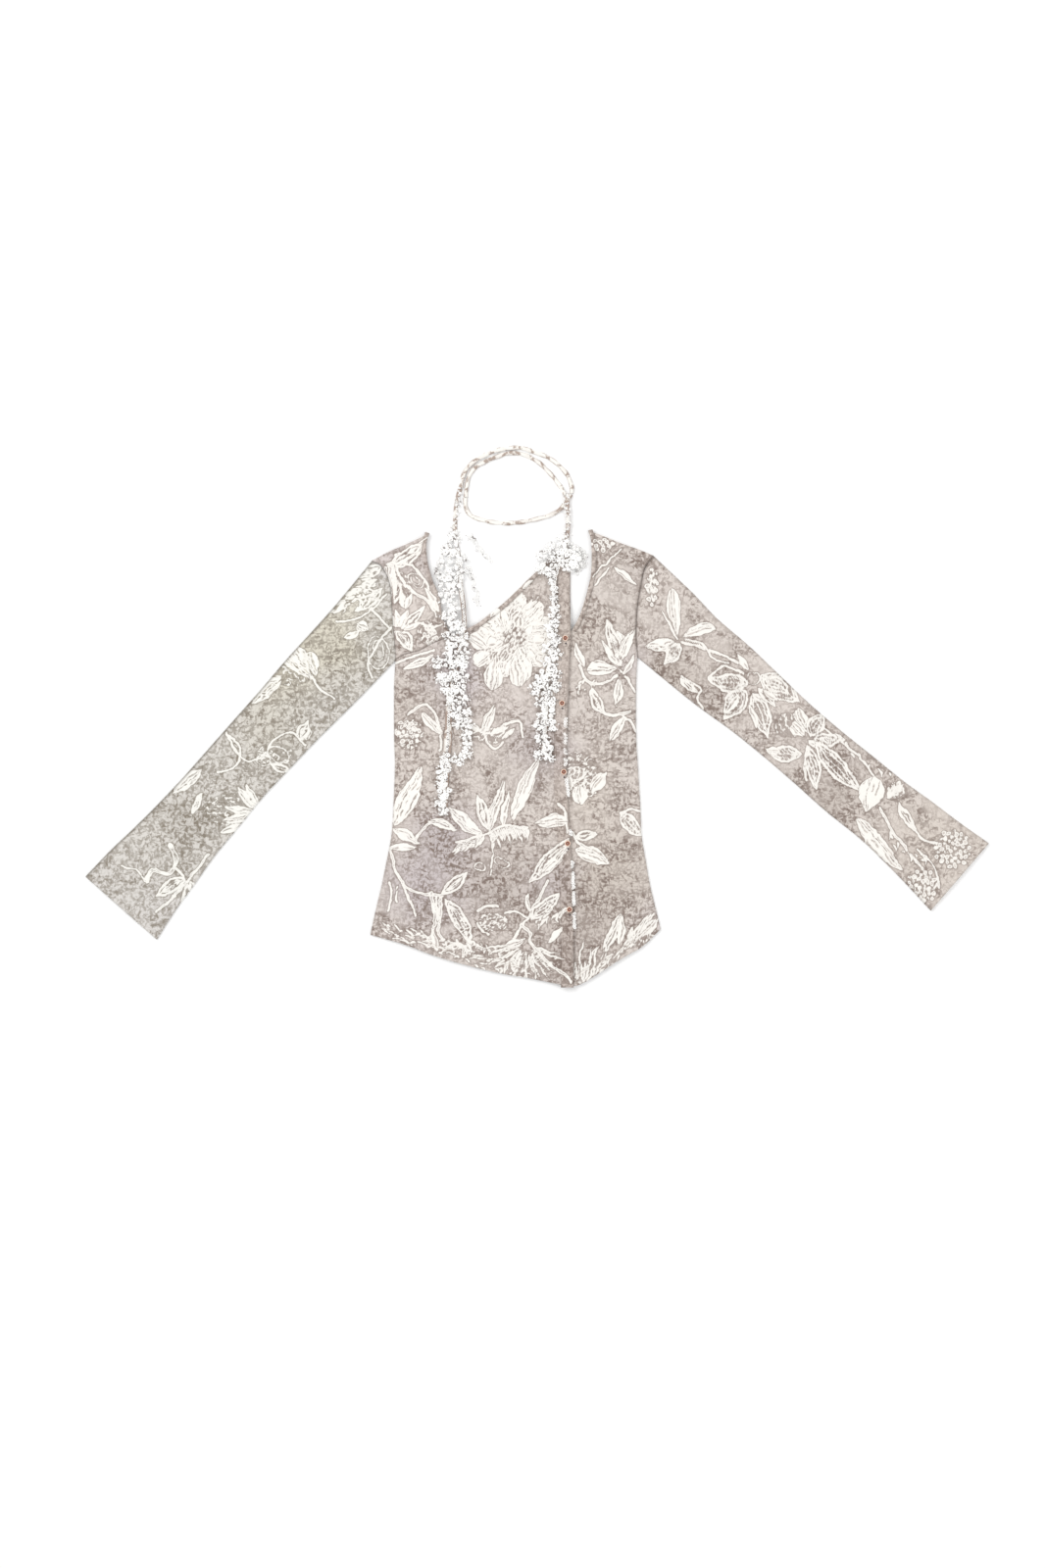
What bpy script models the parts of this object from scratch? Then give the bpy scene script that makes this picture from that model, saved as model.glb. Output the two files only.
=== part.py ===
"""A slim long-sleeved jersey top with a slanted neckline, laid flat, with its own printed neck scarf.

The top lies on the ground plane with its back down and its neck towards +Y. The origin is on the ground, at
the middle of the whole laid-out shape. Cloth pieces are patches worked out from four edge lines. Every size
is in millimetres and is turned into metres where a mesh is made. Left and right are as seen from above.
"""

import math

import bmesh
import bpy
import numpy as np

MM = 0.001
MIDDLE = (1.4, 0.9, 0.0)  # the middle of the laid-out shape, in the tables' x and y

# Cloth and seams
CLOTH = 1.2
BAND_CLOTH = 0.9
SEAM_GAP = 0.3
LAY_GAP = 0.3
LAP_GAP = 0.5
STRIP_GAP = 0.6
BACK_TOP = CLOTH
SHARP_FROM = 40  # degrees between faces
FRONT_UNDER = BACK_TOP + LAY_GAP
LAP_UNDER = FRONT_UNDER + CLOTH + LAP_GAP

# The body: x and y in plan
UNDERARM = {"left": (-201, 81), "right": (144, 85)}
SHOULDER = {"left": (-235, 223), "right": (167, 230)}
NECK_POINT = {"left": (-153, 262), "right": (74, 266)}
HEM_CORNER = {"left": (-237, -311), "right": (177, -303)}
HEM_POINT = (53, -386)
NECK_V = (-121, 114)
TOP_CORNER = (46, 244)
LAP_START = (49, 121)
SIDE_SEAM = {  # down each side, from the underarm to the hem corner, without these two
    "left": [(-203, 44), (-203, -27), (-202, -70), (-204, -127), (-207, -170),
        (-214, -207), (-221, -241), (-230, -279)],
    "right": [(142, 44), (142, -27), (145, -79), (148, -127), (150, -170),
        (156, -207), (162, -241), (169, -270)],
}
ARMHOLE = {  # down each armhole, from the shoulder point to the underarm, without these two
    "left": [(-221, 215), (-210, 193), (-207, 168), (-205, 134), (-202, 101)],
    "right": [(154, 212), (149, 188), (144, 159), (142, 122)],
}
SHOULDER_LINE = {  # from each shoulder point to the neck point, without these two
    "left": [(-212, 235), (-182, 248)],
    "right": [(148, 238), (120, 248), (95, 258)],
}
HEM = {  # from each hem corner to the hem's point, without these two
    "left": [(-191, -324), (-148, -340), (-105, -353), (-51, -366), (-5, -374)],
    "right": [(152, -327), (123, -344), (89, -366), (68, -379)],
}
ARMHOLE_STEPS = 12
YOKE_STEPS = 8
UNDERLAP = 17.0
HEM_TURNED_BACK = 6.0

# Edge lines of the neck and the buttoned edge, x and y between their two named end points
BUTTONED_EDGE = [(46, 44), (44, -5), (43, -82), (46, -138), (50, -208), (53, -299)]
UPPER_EDGE = [(48, 163), (48, 204)]
SLANTED_NECK = [(-103, 124), (-85, 133), (-70, 144), (-57, 154), (-44, 165),
    (-24, 184), (-11, 197), (4, 211), (25, 230)]
YOKE_SEAM = [(-188, 89), (-168, 94), (-147, 105), (-134, 110)]
LEFT_NECK = [(-130, 134), (-135, 148), (-138, 169), (-142, 181), (-149, 197),
    (-156, 225), (-157, 248)]
RIGHT_NECK = [(56, 133), (63, 148), (70, 170), (74, 185), (78, 204), (79, 228),
    (78, 252)]
BACK_NECK = [(-163, 246), (-164, 219), (-159, 184), (-149, 142), (-132, 107),
    (-97, 89), (-38, 81), (18, 86), (54, 104), (75, 139), (86, 184), (89, 226),
    (84, 251)]

# How the fronts stand off the back: a soft loft inside the edges, and folds
LOFT = 1.9
LOFT_RUN = 60.0
LAP_RUN = 26.0
DROP_START = 124.0
DROP_RUN = 55.0
DROPPED_UNDER = 0.0
# Each fold's middle x, y, heading in degrees, half length, half width and height
FRONT_FOLDS = [
    (-168, -96, 88, 95, 11, 1.5),
    (-140, -149, 84, 80, 13, 1.2),
    (-173, 36, -38, 46, 10, 1.3),
    (-150, 11, -52, 50, 11, 1.0),
    (113, 41, 218, 44, 10, 1.3),
    (93, 16, 232, 48, 11, 0.9),
    (110, -104, 4, 42, 9, 1.1),
    (113, -160, -5, 44, 9, 1.3),
    (107, -216, -9, 44, 10, 1.1),
    (-38, -236, 10, 70, 14, 1.0),
    (-59, -54, 76, 70, 14, 0.9),
    (-10, -292, 68, 46, 13, 0.9),
    (-129, -271, 100, 46, 13, 1.1),
]

# Sleeves: the middle of each armhole and cuff, and rows of share along and half width
SLEEVE_ENDS = {"left": ((-218, 152), (-593, -273)), "right": ((156, 157), (604, -229))}
SLEEVE_UPPER = {
    "left": [(0.06, 57), (0.15, 57), (0.25, 58), (0.35, 57), (0.45, 57), (0.55, 57),
        (0.65, 57), (0.75, 59), (0.83, 62), (0.91, 66), (1.0, 68)],
    "right": [(0.06, 59), (0.15, 54), (0.25, 54), (0.35, 51), (0.45, 48), (0.55, 48),
        (0.65, 50), (0.75, 52), (0.83, 56), (0.91, 59), (1.0, 64)],
}
SLEEVE_LOWER = {
    "left": [(0.15, 58), (0.25, 55), (0.35, 51), (0.45, 49), (0.55, 47), (0.65, 49),
        (0.75, 51), (0.83, 56), (0.91, 60), (1.0, 68)],
    "right": [(0.15, 61), (0.25, 59), (0.35, 54), (0.45, 52), (0.55, 52), (0.65, 53),
        (0.75, 51), (0.83, 53), (0.91, 57), (1.0, 63)],
}
SLEEVE_LOFT = 1.6
SLEEVE_FOLD_EDGE = 1.1
SLEEVE_FULLNESS = 0.8  # less is flatter on top
SLEEVE_SEAM_RUN = 0.07  # the share of its length in which a sleeve rises from its seam
# Each sleeve crease's share along, lean across, half width as a share, and height
SLEEVE_CREASES = [(0.10, 0.10, 0.022, 1.2), (0.21, -0.08, 0.020, 0.9), (0.42, 0.09, 0.016, 1.3),
                  (0.50, -0.06, 0.016, 1.5), (0.58, 0.07, 0.018, 1.1), (0.80, -0.10, 0.024, 1.0)]

# Bindings, button band and buttons
BINDING_WIDTH = 6.0
BAND_WIDTH = 18.0
BUTTONS = [(41.0, 112.4), (36.3, 19.6), (38.8, -78.5), (44.4, -180.6), (46.9, -275.0)]
BUTTON_RADIUS = 4.2
BUTTON_HEIGHT = 2.0
BUTTON_TURNS = 16
BUTTON_PROFILE = [(0.86, 0.0), (1.0, 0.35), (1.0, 0.65), (0.92, 1.0), (0.78, 1.0), (0.55, 0.68)]
BUTTON_DISH = 0.62

# The neck scarf: strand sections, and each stretch's x, y and height of its underside
STRAND_WIDTH = 5.6
STRAND_HEIGHT = 3.0
STRAND_SECTION = [(-1.0, 0.32), (-0.72, 0.0), (0.72, 0.0), (1.0, 0.32),  # shares of half width and height
                  (1.0, 0.68), (0.72, 1.0), (-0.72, 1.0), (-1.0, 0.68)]
TAIL_HEIGHT = 1.8
TAIL_WIDTHS = {  # evenly spaced down each tail
    "left": [5.6, 5.6, 5.6, 6.5, 7.0, 7.5, 9.0, 11.0, 11.0, 11.0],
    "right": [5.6, 5.6, 6.0, 7.0, 7.0],
}
SCARF_OUTER = [(-108, 327, 0), (-105, 344, 0), (-96, 359, 0), (-79, 371, 0),
    (-59, 380, 0), (-37, 384, 0), (-20, 384, 0), (-3, 378, 0), (14, 372, 0),
    (29, 362, 0), (43, 347, 0), (50, 330, 0), (50, 319, 0)]
SCARF_FRONT = [(49, 318, 0), (43, 307, 0), (33, 296, 0), (19, 288, 0), (2, 283, 0),
    (-25, 278, 0), (-52, 277, 0), (-76, 281, 0), (-94, 288, 0), (-101, 300, 0),
    (-102, 313, 0)]
SCARF_INNER = [(-101, 314, 0), (-100, 328, 0), (-97, 342, 0), (-90, 354, 0),
    (-75, 364, 0), (-56, 372, 0), (-38, 377, 0), (-19, 375, 0), (-6, 369, 0),
    (5, 362, 0), (21, 346, 0), (32, 332, 0.5), (41, 317, 2.6)]
SCARF_TAIL = {
    "left": [(-109, 326, 0), (-114, 309, 0), (-116, 288, 0), (-116, 261, 0),
        (-112, 233, 0), (-110, 205, 1.6), (-107, 177, 4.6), (-104, 153, 5.8),
        (-103, 131, 6.3), (-106, 117, 6.4), (-110, 97, 5.6), (-118, 58, 5.4),
        (-124, 19, 5.4), (-126, -19, 5.5), (-128, -54, 5.8), (-131, -93, 5.9),
        (-132, -129, 6.2)],
    "right": [(42, 316, 3.5), (44, 305, 3.5), (45, 281, 3.4), (44, 261, 3.2),
        (41, 244, 3.1), (33, 219, 3.1), (26, 193, 3.1), (24, 163, 3.6), (23, 128, 6.4),
        (21, 93, 6.3), (14, 51, 6.0), (14, 9, 6.0), (12, -26, 5.9), (11, -57, 5.9)],
}

# Crochet lace on the tails: a tape along each tail and flowers round it
LACE_CLOTH = 1.0
LACE_TAPE = 5.0
LACE_PETALS = 5
LACE_OUTLINE = 10
LACE_LIFT = 0.5
LACE_LEVELS = (-0.12, -0.01, 0.1)
LACE_VALLEY = 0.68
LACE_TAPE_ENDS = {"left": (252.0, -128.0), "right": (246.0, -52.0)}
LACE_FLOWERS = {  # x, y, radius
    "left": [
        (-117, 256, 11.2), (-125, 237, 12.6), (-108, 226, 11.2), (-129, 216, 12.6),
        (-112, 205, 12.6), (-131, 194, 12.6), (-117, 184, 11.2), (-129, 172, 12.6),
        (-118, 156, 11.2), (-126, 141, 12.6), (-112, 127, 12.6), (-125, 114, 11.2),
        (-105, 109, 11.2), (-121, 96, 12.6), (-103, 90, 9.8), (-142, 78, 10.5),
        (-124, 78, 11.2), (-108, 74, 11.2), (-135, 55, 10.5), (-118, 58, 11.2),
        (-104, 57, 9.1), (-126, 39, 11.2), (-111, 41, 11.2), (-121, 23, 9.8),
        (-105, 25, 10.5), (-114, 6, 11.2), (-100, 6, 8.4), (-111, -10, 9.8),
        (-98, -10, 9.1), (-100, -26, 9.4), (-99, -40, 9.0), (-99, -52, 8.6),
        (-111, -61, 10.5), (-128, -61, 11.2), (-132, -76, 11.2), (-135, -93, 10.5),
        (-131, -107, 11.2), (-136, -121, 9.8), (-133, -134, 8.4),
    ],
    "right": [
        (37, 250, 9.8), (21, 240, 11.2), (7, 230, 9.1), (37, 232, 11.2),
        (54, 235, 10.4), (56, 221, 11.0), (25, 222, 10.5), (43, 216, 10.6),
        (7, 212, 9.8), (19, 207, 9.8), (22, 193, 7.0), (25, 181, 7.0),
        (25, 169, 7.0), (26, 156, 8.4), (26, 142, 9.8), (21, 127, 10.5),
        (25, 111, 11.2), (16, 97, 10.5), (28, 90, 9.8), (19, 76, 11.9),
        (26, 60, 10.5), (8, 57, 11.9), (-3, 40, 9.8), (14, 40, 11.9), (28, 43, 8.4),
        (5, 22, 9.8), (20, 22, 9.6), (14, 5, 14.0), (4, -12, 9.8), (22, -12, 9.8),
        (8, -29, 10.5), (15, -43, 9.8), (4, -54, 9.1), (18, -58, 9.1),
    ],
}

COLOURS = {
    "jersey": (0.56, 0.51, 0.46),
    "binding": (0.50, 0.45, 0.40),
    "scarf": (0.66, 0.61, 0.56),
    "lace": (0.90, 0.90, 0.89),
    "button": (0.42, 0.18, 0.06),
}
CLOTH_ROUGHNESS = 0.9
BUTTON_ROUGHNESS = 0.5
MATERIALS = {}


def material(name):
    """One plain finish for each kind of piece."""
    if name not in MATERIALS:
        made = bpy.data.materials.new(name)
        made.use_nodes = True
        surface = made.node_tree.nodes["Principled BSDF"]
        surface.inputs["Base Color"].default_value = (*COLOURS[name], 1.0)
        surface.inputs["Roughness"].default_value = BUTTON_ROUGHNESS if name == "button" else CLOTH_ROUGHNESS
        surface.inputs["Metallic"].default_value = 0.0
        MATERIALS[name] = made
    return MATERIALS[name]


def new_object(name, points, faces, finish):
    """Points in millimetres and faces, as an object whose mesh is in metres and faces outwards."""
    mesh = bpy.data.meshes.new(name)
    corners = [[int(corner) for corner in face] for face in faces]
    mesh.from_pydata(((np.asarray(points, float) - MIDDLE) * MM).tolist(), [], corners)
    work = bmesh.new()
    work.from_mesh(mesh)
    bmesh.ops.recalc_face_normals(work, faces=work.faces)
    work.to_mesh(mesh)
    work.free()
    mesh.shade_smooth()
    mesh.set_sharp_from_angle(angle=math.radians(SHARP_FROM))
    mesh.materials.append(material(finish))
    made = bpy.data.objects.new(name, mesh)
    bpy.context.scene.collection.objects.link(made)
    return made


def evenly(points, count):
    """The line through the points, as count points spaced evenly along it."""
    points = np.asarray(points, float)
    steps = np.linalg.norm(np.diff(points, axis=0), axis=1)
    along = np.concatenate([[0.0], np.cumsum(steps)])
    wanted = np.linspace(0.0, along[-1], count)
    return np.stack([np.interp(wanted, along, column) for column in points.T], axis=1)


def smooth_line(points, count):
    """A Catmull-Rom curve through the points, as count points spaced evenly along it."""
    points = np.asarray(points, float)
    padded = np.vstack([2 * points[0] - points[1], points, 2 * points[-1] - points[-2]])
    share = np.linspace(0.0, 1.0, 16, endpoint=False)[:, None]
    runs = []
    for a, b, c, d in zip(padded, padded[1:], padded[2:], padded[3:]):
        runs.append(0.5 * (2 * b + (c - a) * share + (2 * a - 5 * b + 4 * c - d) * share**2
                           + (3 * b - a - 3 * c + d) * share**3))
    return evenly(np.vstack([*runs, points[-1:]]), count)


def joined(*lines):
    """Lines end to end, with a shared end point kept once."""
    return np.vstack([lines[0], *[line[1:] for line in lines[1:]]])


def beside(line, distance):
    """A plan line moved sideways, to the left of its direction for a positive distance."""
    ahead = np.gradient(line, axis=0)
    ahead /= np.linalg.norm(ahead, axis=1, keepdims=True)
    return line + distance * np.stack([-ahead[:, 1], ahead[:, 0]], axis=1)


def armhole(side):
    """From the shoulder point down to the underarm, in the same steps on every piece that meets there."""
    return smooth_line([SHOULDER[side], *ARMHOLE[side], UNDERARM[side]], ARMHOLE_STEPS)


def side_seam(side, count):
    """From the hem corner up to the underarm."""
    return smooth_line([HEM_CORNER[side], *SIDE_SEAM[side][::-1], UNDERARM[side]], count)


def shoulder(side, count):
    """From the shoulder point to the neck point."""
    return smooth_line([SHOULDER[side], *SHOULDER_LINE[side], NECK_POINT[side]], count)


def hem(side, count):
    """From the hem corner to the hem's point."""
    return smooth_line([HEM_CORNER[side], *HEM[side], HEM_POINT], count)


def buttoned_edge(count):
    """From the hem's point up to where the side front's neckline starts."""
    return smooth_line([LAP_START, *BUTTONED_EDGE, HEM_POINT][::-1], count)


def upper_edge(count):
    """From there up to the top corner of the large front."""
    return smooth_line([LAP_START, *UPPER_EDGE, TOP_CORNER], count)


def slanted_neck(count):
    """From the V at the yoke up to the top corner."""
    return smooth_line([NECK_V, *SLANTED_NECK, TOP_CORNER], count)


def yoke_seam(count):
    """From the left underarm up to the V."""
    return smooth_line([UNDERARM["left"], *YOKE_SEAM, NECK_V], count)


def left_neck(count):
    """From the V up to the left neck point."""
    return smooth_line([NECK_V, *LEFT_NECK, NECK_POINT["left"]], count)


def right_neck(count):
    """From the buttoned edge up to the right neck point."""
    return smooth_line([LAP_START, *RIGHT_NECK, NECK_POINT["right"]], count)


def patch(low, high, start, end):
    """A Coons patch in plan. low and high run across at the two ends, start and end run from low to high."""
    across = np.linspace(0.0, 1.0, len(low))[None, :, None]
    up = np.linspace(0.0, 1.0, len(start))[:, None, None]
    ruled = (1 - up) * low[None] + up * high[None] + (1 - across) * start[:, None] + across * end[:, None]
    corners = ((1 - up) * ((1 - across) * low[0] + across * low[-1])
               + up * ((1 - across) * high[0] + across * high[-1]))
    return ruled - corners


def smooth_step(value):
    """0 up to 0, 1 from 1 on, and an S curve between."""
    value = np.clip(value, 0.0, 1.0)
    return value * value * (3 - 2 * value)


def folds(x, y, rows):
    """The height of soft ridges: a bell across each fold and a longer bell along it."""
    height = np.zeros_like(x)
    for middle_x, middle_y, heading, half_length, half_width, rise in rows:
        cos, sin = math.cos(math.radians(heading)), math.sin(math.radians(heading))
        along = ((x - middle_x) * cos + (y - middle_y) * sin) / half_length
        across = ((y - middle_y) * cos - (x - middle_x) * sin) / half_width
        height += rise * np.exp(-along**2 - across**2)
    return height


def side_distance(x, y):
    """How far a point lies inside the side seams and armholes, in plan."""
    inside = []
    for side, sign in (("left", 1.0), ("right", -1.0)):
        line = np.vstack([side_seam(side, 30), armhole(side)[::-1]])
        order = np.argsort(line[:, 1])
        inside.append(sign * (x - np.interp(y, line[order, 1], line[order, 0])))
    return np.minimum(*inside)


def body_loft(x, y):
    """The soft rise of the fronts over the back, nothing at the side seams and armholes."""
    share = smooth_step(side_distance(x, y) / LOFT_RUN)
    return share * (LOFT + folds(x, y, FRONT_FOLDS))


def edge_x(y):
    """The buttoned edge's x at a height."""
    line = joined(buttoned_edge(60), upper_edge(40))
    return np.interp(y, line[:, 1], line[:, 0])


def side_front_under(x, y):
    """The underside of the pieces that lie straight on the back."""
    return FRONT_UNDER + body_loft(x, y)


def main_front_under(x, y):
    """As the side front, but lifted over its lap, and let down to the ground above the back's neckline."""
    lifted = smooth_step(1 - (edge_x(y) - UNDERLAP - x) / LAP_RUN) * (LAP_UNDER - FRONT_UNDER)
    dropped = smooth_step((y - DROP_START) / DROP_RUN)
    return (side_front_under(x, y) + lifted) * (1 - dropped) + DROPPED_UNDER * dropped


def wall(name, plan, under, thickness, finish):
    """A closed sheet: the grid's underside, the same points moved up, and a rim all round."""
    rows, columns = plan.shape[:2]
    low = np.dstack([plan, under]).reshape(-1, 3)
    high = low + (0.0, 0.0, thickness)
    index = np.arange(rows * columns).reshape(rows, columns)
    quads = np.stack([index[:-1, :-1], index[:-1, 1:], index[1:, 1:], index[1:, :-1]], axis=-1)
    quads = quads.reshape(-1, 4)
    rim = np.concatenate([index[0, :], index[1:, -1], index[-1, -2::-1], index[-2:0:-1, 0]])
    after = np.roll(rim, -1)
    top = rows * columns
    sides = np.stack([rim, rim + top, after + top, after], axis=1)
    return new_object(name, np.vstack([low, high]), [*quads[:, ::-1], *(quads + top), *sides], finish)


def back_panel():
    """The back, flat on the ground: one outline with a deep scooped neck."""
    outline = joined(
        evenly([HEM_CORNER["left"], HEM_CORNER["right"]], 12),
        side_seam("right", 14),
        armhole("right")[::-1],
        shoulder("right", 5),
        smooth_line([NECK_POINT["left"], *BACK_NECK, NECK_POINT["right"]][::-1], 32),
        shoulder("left", 5)[::-1],
        armhole("left"),
        side_seam("left", 14)[::-1],
    )[:-1]
    count = len(outline)
    low = np.column_stack([outline, np.zeros(count)])
    index = np.arange(count)
    after = np.roll(index, -1)
    sides = np.stack([index, after, after + count, index + count], axis=1)
    faces = [index[::-1], index + count, *sides]
    return new_object("back", np.vstack([low, low + (0.0, 0.0, BACK_TOP)]), faces, "jersey")


def main_front():
    """The large front from the left side seam to the buttoned edge, cut on a slant at the neck."""
    up = 31
    top = joined(yoke_seam(YOKE_STEPS), slanted_neck(13))
    plan = patch(
        low=hem("left", len(top)),
        high=top,
        start=side_seam("left", up),
        end=joined(buttoned_edge(24), upper_edge(up - 23)),
    )
    return wall("front_main", plan, main_front_under(plan[..., 0], plan[..., 1]), CLOTH, "jersey")


def side_front():
    """The narrow front on the right, whose edge runs on under the buttoned edge."""
    lap = buttoned_edge(24) - (UNDERLAP, 0.0)
    lap[0] += (0.0, HEM_TURNED_BACK)
    hem_line = smooth_line([lap[0], np.array(HEM_POINT) + (0.0, HEM_TURNED_BACK / 3), *HEM["right"][::-1],
                            HEM_CORNER["right"]], 11)
    plan = patch(
        low=hem_line,
        high=shoulder("right", 11)[::-1],
        start=joined(lap, evenly([lap[-1], LAP_START], 3), right_neck(ARMHOLE_STEPS - 2)),
        end=joined(side_seam("right", len(lap)), armhole("right")[::-1]),
    )
    return wall("front_side", plan, side_front_under(plan[..., 0], plan[..., 1]), CLOTH, "jersey")


def yoke():
    """The left shoulder piece, between the shoulder line and the slanted seam across the chest."""
    seam = beside(yoke_seam(YOKE_STEPS), SEAM_GAP)
    neck = left_neck(ARMHOLE_STEPS)
    arm = armhole("left")[::-1]
    neck[0] = seam[-1]
    arm[0] = seam[0]
    plan = patch(low=seam, high=shoulder("left", YOKE_STEPS), start=arm, end=neck)
    return wall("yoke_left", plan, side_front_under(plan[..., 0], plan[..., 1]), CLOTH, "jersey")


def sleeve_plan(side, up):
    """A sleeve in plan, from the armhole to the cuff and from its upper fold to its lower one."""
    start, end = (np.array(point) for point in SLEEVE_ENDS[side])
    run = end - start
    above = np.array([-run[1], run[0]]) / np.linalg.norm(run)
    above *= math.copysign(1.0, above[1])
    upper = [start + share * run + above * half for share, half in SLEEVE_UPPER[side]]
    lower = [start + share * run - above * half for share, half in SLEEVE_LOWER[side]]
    outward = -SEAM_GAP if side == "left" else SEAM_GAP
    seam = beside(armhole(side), outward)
    return patch(
        low=seam,
        high=evenly([upper[-1], lower[-1]], ARMHOLE_STEPS),
        start=smooth_line([seam[0], *upper], up),
        end=smooth_line([seam[-1], *lower], up),
    )


def sleeve_height(across, along):
    """The upper skin over the ground: two layers at the folds, a soft rise between them, and creases."""
    rise = np.sin(math.pi * across) ** SLEEVE_FULLNESS
    creases = sum(
        high * np.exp(-(((along - place - lean * (across - 0.5)) / width) ** 2))
        for place, lean, width, high in SLEEVE_CREASES
    )
    near_seam = smooth_step(along / SLEEVE_SEAM_RUN)
    return 2 * CLOTH + LAY_GAP + rise * near_seam * (SLEEVE_LOFT + creases)


def sleeve(side):
    """A flattened tube with an upper and a lower skin that turn into each other at the two folds."""
    rows = 22
    plan = sleeve_plan(side, rows)
    grid = np.linspace(0.0, 1.0, ARMHOLE_STEPS)
    along = np.linspace(0.0, 1.0, rows)[:, None]
    width = np.linalg.norm(plan[:, -1] - plan[:, 0], axis=1)[:, None]

    def ring(inset):
        """Points round each section, inset from the outer skin: a fold, the upper run, a fold, and back."""
        edge = inset / width
        corner = (inset + SLEEVE_FOLD_EDGE) / width
        middle = np.tile(grid[1:-1], (rows, 1))
        run = np.hstack([corner, middle, 1 - corner])
        share = np.hstack([edge, run, 1 - edge, run[:, ::-1]])
        high = sleeve_height(share, along)
        under = np.arange(share.shape[1])[None] <= run.shape[1]
        z = np.where(under, inset, high - inset)
        for fold in (0, run.shape[1] + 1):
            z[:, fold] = high[:, fold] / 2
        x, y = (np.stack([np.interp(at, grid, line) for at, line in zip(share, plan[..., i])])
                for i in (0, 1))
        return np.dstack([x, y, z])

    outer, inner = ring(0.0), ring(CLOTH)
    around = outer.shape[1]
    index = np.arange(rows * around).reshape(rows, around)
    after = np.roll(index, -1, axis=1)
    skin = np.stack([index[:-1], after[:-1], after[1:], index[1:]], axis=-1).reshape(-1, 4)
    lining = skin[:, ::-1] + rows * around
    ends = []
    for row, flip in ((0, False), (rows - 1, True)):
        one, two = index[row], after[row]
        ring_face = np.stack([one, one + rows * around, two + rows * around, two], axis=1)
        ends.append(ring_face[:, ::-1] if flip else ring_face)
    points = np.vstack([outer.reshape(-1, 3), inner.reshape(-1, 3)])
    return new_object(f"sleeve_{side}", points, np.vstack([skin, lining, *ends]), "jersey")


def edge_strip(name, line, width, under, finish):
    """A narrow strip of cloth on a panel's edge, made from the panel's own heights and moved out from it."""
    plan = np.stack([line, beside(line, width / 2), beside(line, width)], axis=1)
    height = under(plan[..., 0], plan[..., 1]) + CLOTH + STRIP_GAP
    return wall(name, plan, height, BAND_CLOTH, finish)


def bindings():
    """The bound neck edges: on the yoke, on the slanted front and on the side front."""
    edge_strip("binding_left", left_neck(20)[1:], BINDING_WIDTH, side_front_under, "binding")
    edge_strip("binding_slanted", slanted_neck(26)[1:-3], -BINDING_WIDTH, main_front_under, "binding")
    edge_strip("binding_right", right_neck(18)[1:], -BINDING_WIDTH, side_front_under, "binding")


def button_band():
    """The strip down the buttoned edge, from the top corner to the hem's point."""
    line = joined(buttoned_edge(34), upper_edge(14)[:-2])
    edge_strip("button_band", line, BAND_WIDTH, main_front_under, "binding")


def buttons():
    """Small turned buttons: a rounded rim round a shallow dish."""
    turn = np.arange(BUTTON_TURNS) * 2 * math.pi / BUTTON_TURNS
    circle = np.column_stack([np.cos(turn), np.sin(turn)]) * BUTTON_RADIUS
    for number, (x, y) in enumerate(BUTTONS, 1):
        ground = main_front_under(x + circle[:, 0], y + circle[:, 1])
        base = float(ground.max()) + CLOTH + STRIP_GAP + BAND_CLOTH + LAY_GAP
        rings = []
        for radius, high in BUTTON_PROFILE:
            level = np.full(BUTTON_TURNS, base + BUTTON_HEIGHT * high)
            rings.append(np.column_stack([(x, y) + radius * circle, level]))
        points = np.vstack([*rings, [(x, y, base), (x, y, base + BUTTON_HEIGHT * BUTTON_DISH)]])
        index = np.arange(len(rings) * BUTTON_TURNS).reshape(len(rings), BUTTON_TURNS)
        after = np.roll(index, -1, axis=1)
        foot, crown = len(points) - 2, len(points) - 1
        faces = [*np.stack([index[:-1], after[:-1], after[1:], index[1:]], axis=-1).reshape(-1, 4)]
        faces += [(foot, b, a) for a, b in zip(index[0], after[0])]
        faces += [(crown, a, b) for a, b in zip(index[-1], after[-1])]
        new_object(f"button_{number}", points, faces, "button")


def strand(name, rows, count, widths, height, finish):
    """A flattened tube of cloth along a line: an eight-sided oval section, level across."""
    line = np.maximum(smooth_line(rows, count), (-np.inf, -np.inf, 0.0))
    ahead = np.gradient(line[:, :2], axis=0)
    ahead /= np.linalg.norm(ahead, axis=1, keepdims=True)
    across = np.stack([-ahead[:, 1], ahead[:, 0]], axis=1)
    section = np.array(STRAND_SECTION)
    half = np.interp(np.linspace(0.0, 1.0, count), np.linspace(0.0, 1.0, len(widths)), widths) / 2
    plan = line[:, None, :2] + across[:, None] * (half[:, None] * section[None, :, 0])[..., None]
    z = line[:, None, 2] + height * section[None, :, 1]
    points = np.dstack([plan, z]).reshape(-1, 3)
    around = len(section)
    index = np.arange(count * around).reshape(count, around)
    after = np.roll(index, -1, axis=1)
    faces = [*np.stack([index[:-1], index[1:], after[1:], after[:-1]], axis=-1).reshape(-1, 4)]
    return new_object(name, points, [*faces, index[0], index[-1][::-1]], finish)


def scarf():
    """The neck scarf, wound once and a half: two stretches behind the neck, one in front and two tails."""
    strand("scarf_outer", SCARF_OUTER, 26, [STRAND_WIDTH], STRAND_HEIGHT, "scarf")
    strand("scarf_front", SCARF_FRONT, 28, [STRAND_WIDTH], STRAND_HEIGHT, "scarf")
    strand("scarf_inner", SCARF_INNER, 28, [STRAND_WIDTH], STRAND_HEIGHT, "scarf")
    for side, rows in SCARF_TAIL.items():
        strand(f"scarf_tail_{side}", rows, 40, TAIL_WIDTHS[side], TAIL_HEIGHT, "scarf")


def lace_underside(line, y):
    """The lace's underside at a height: a little over the tail's cloth."""
    return np.interp(y, line[::-1, 1], np.maximum(line[::-1, 2], 0.0)) + TAIL_HEIGHT + LACE_LIFT


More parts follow.
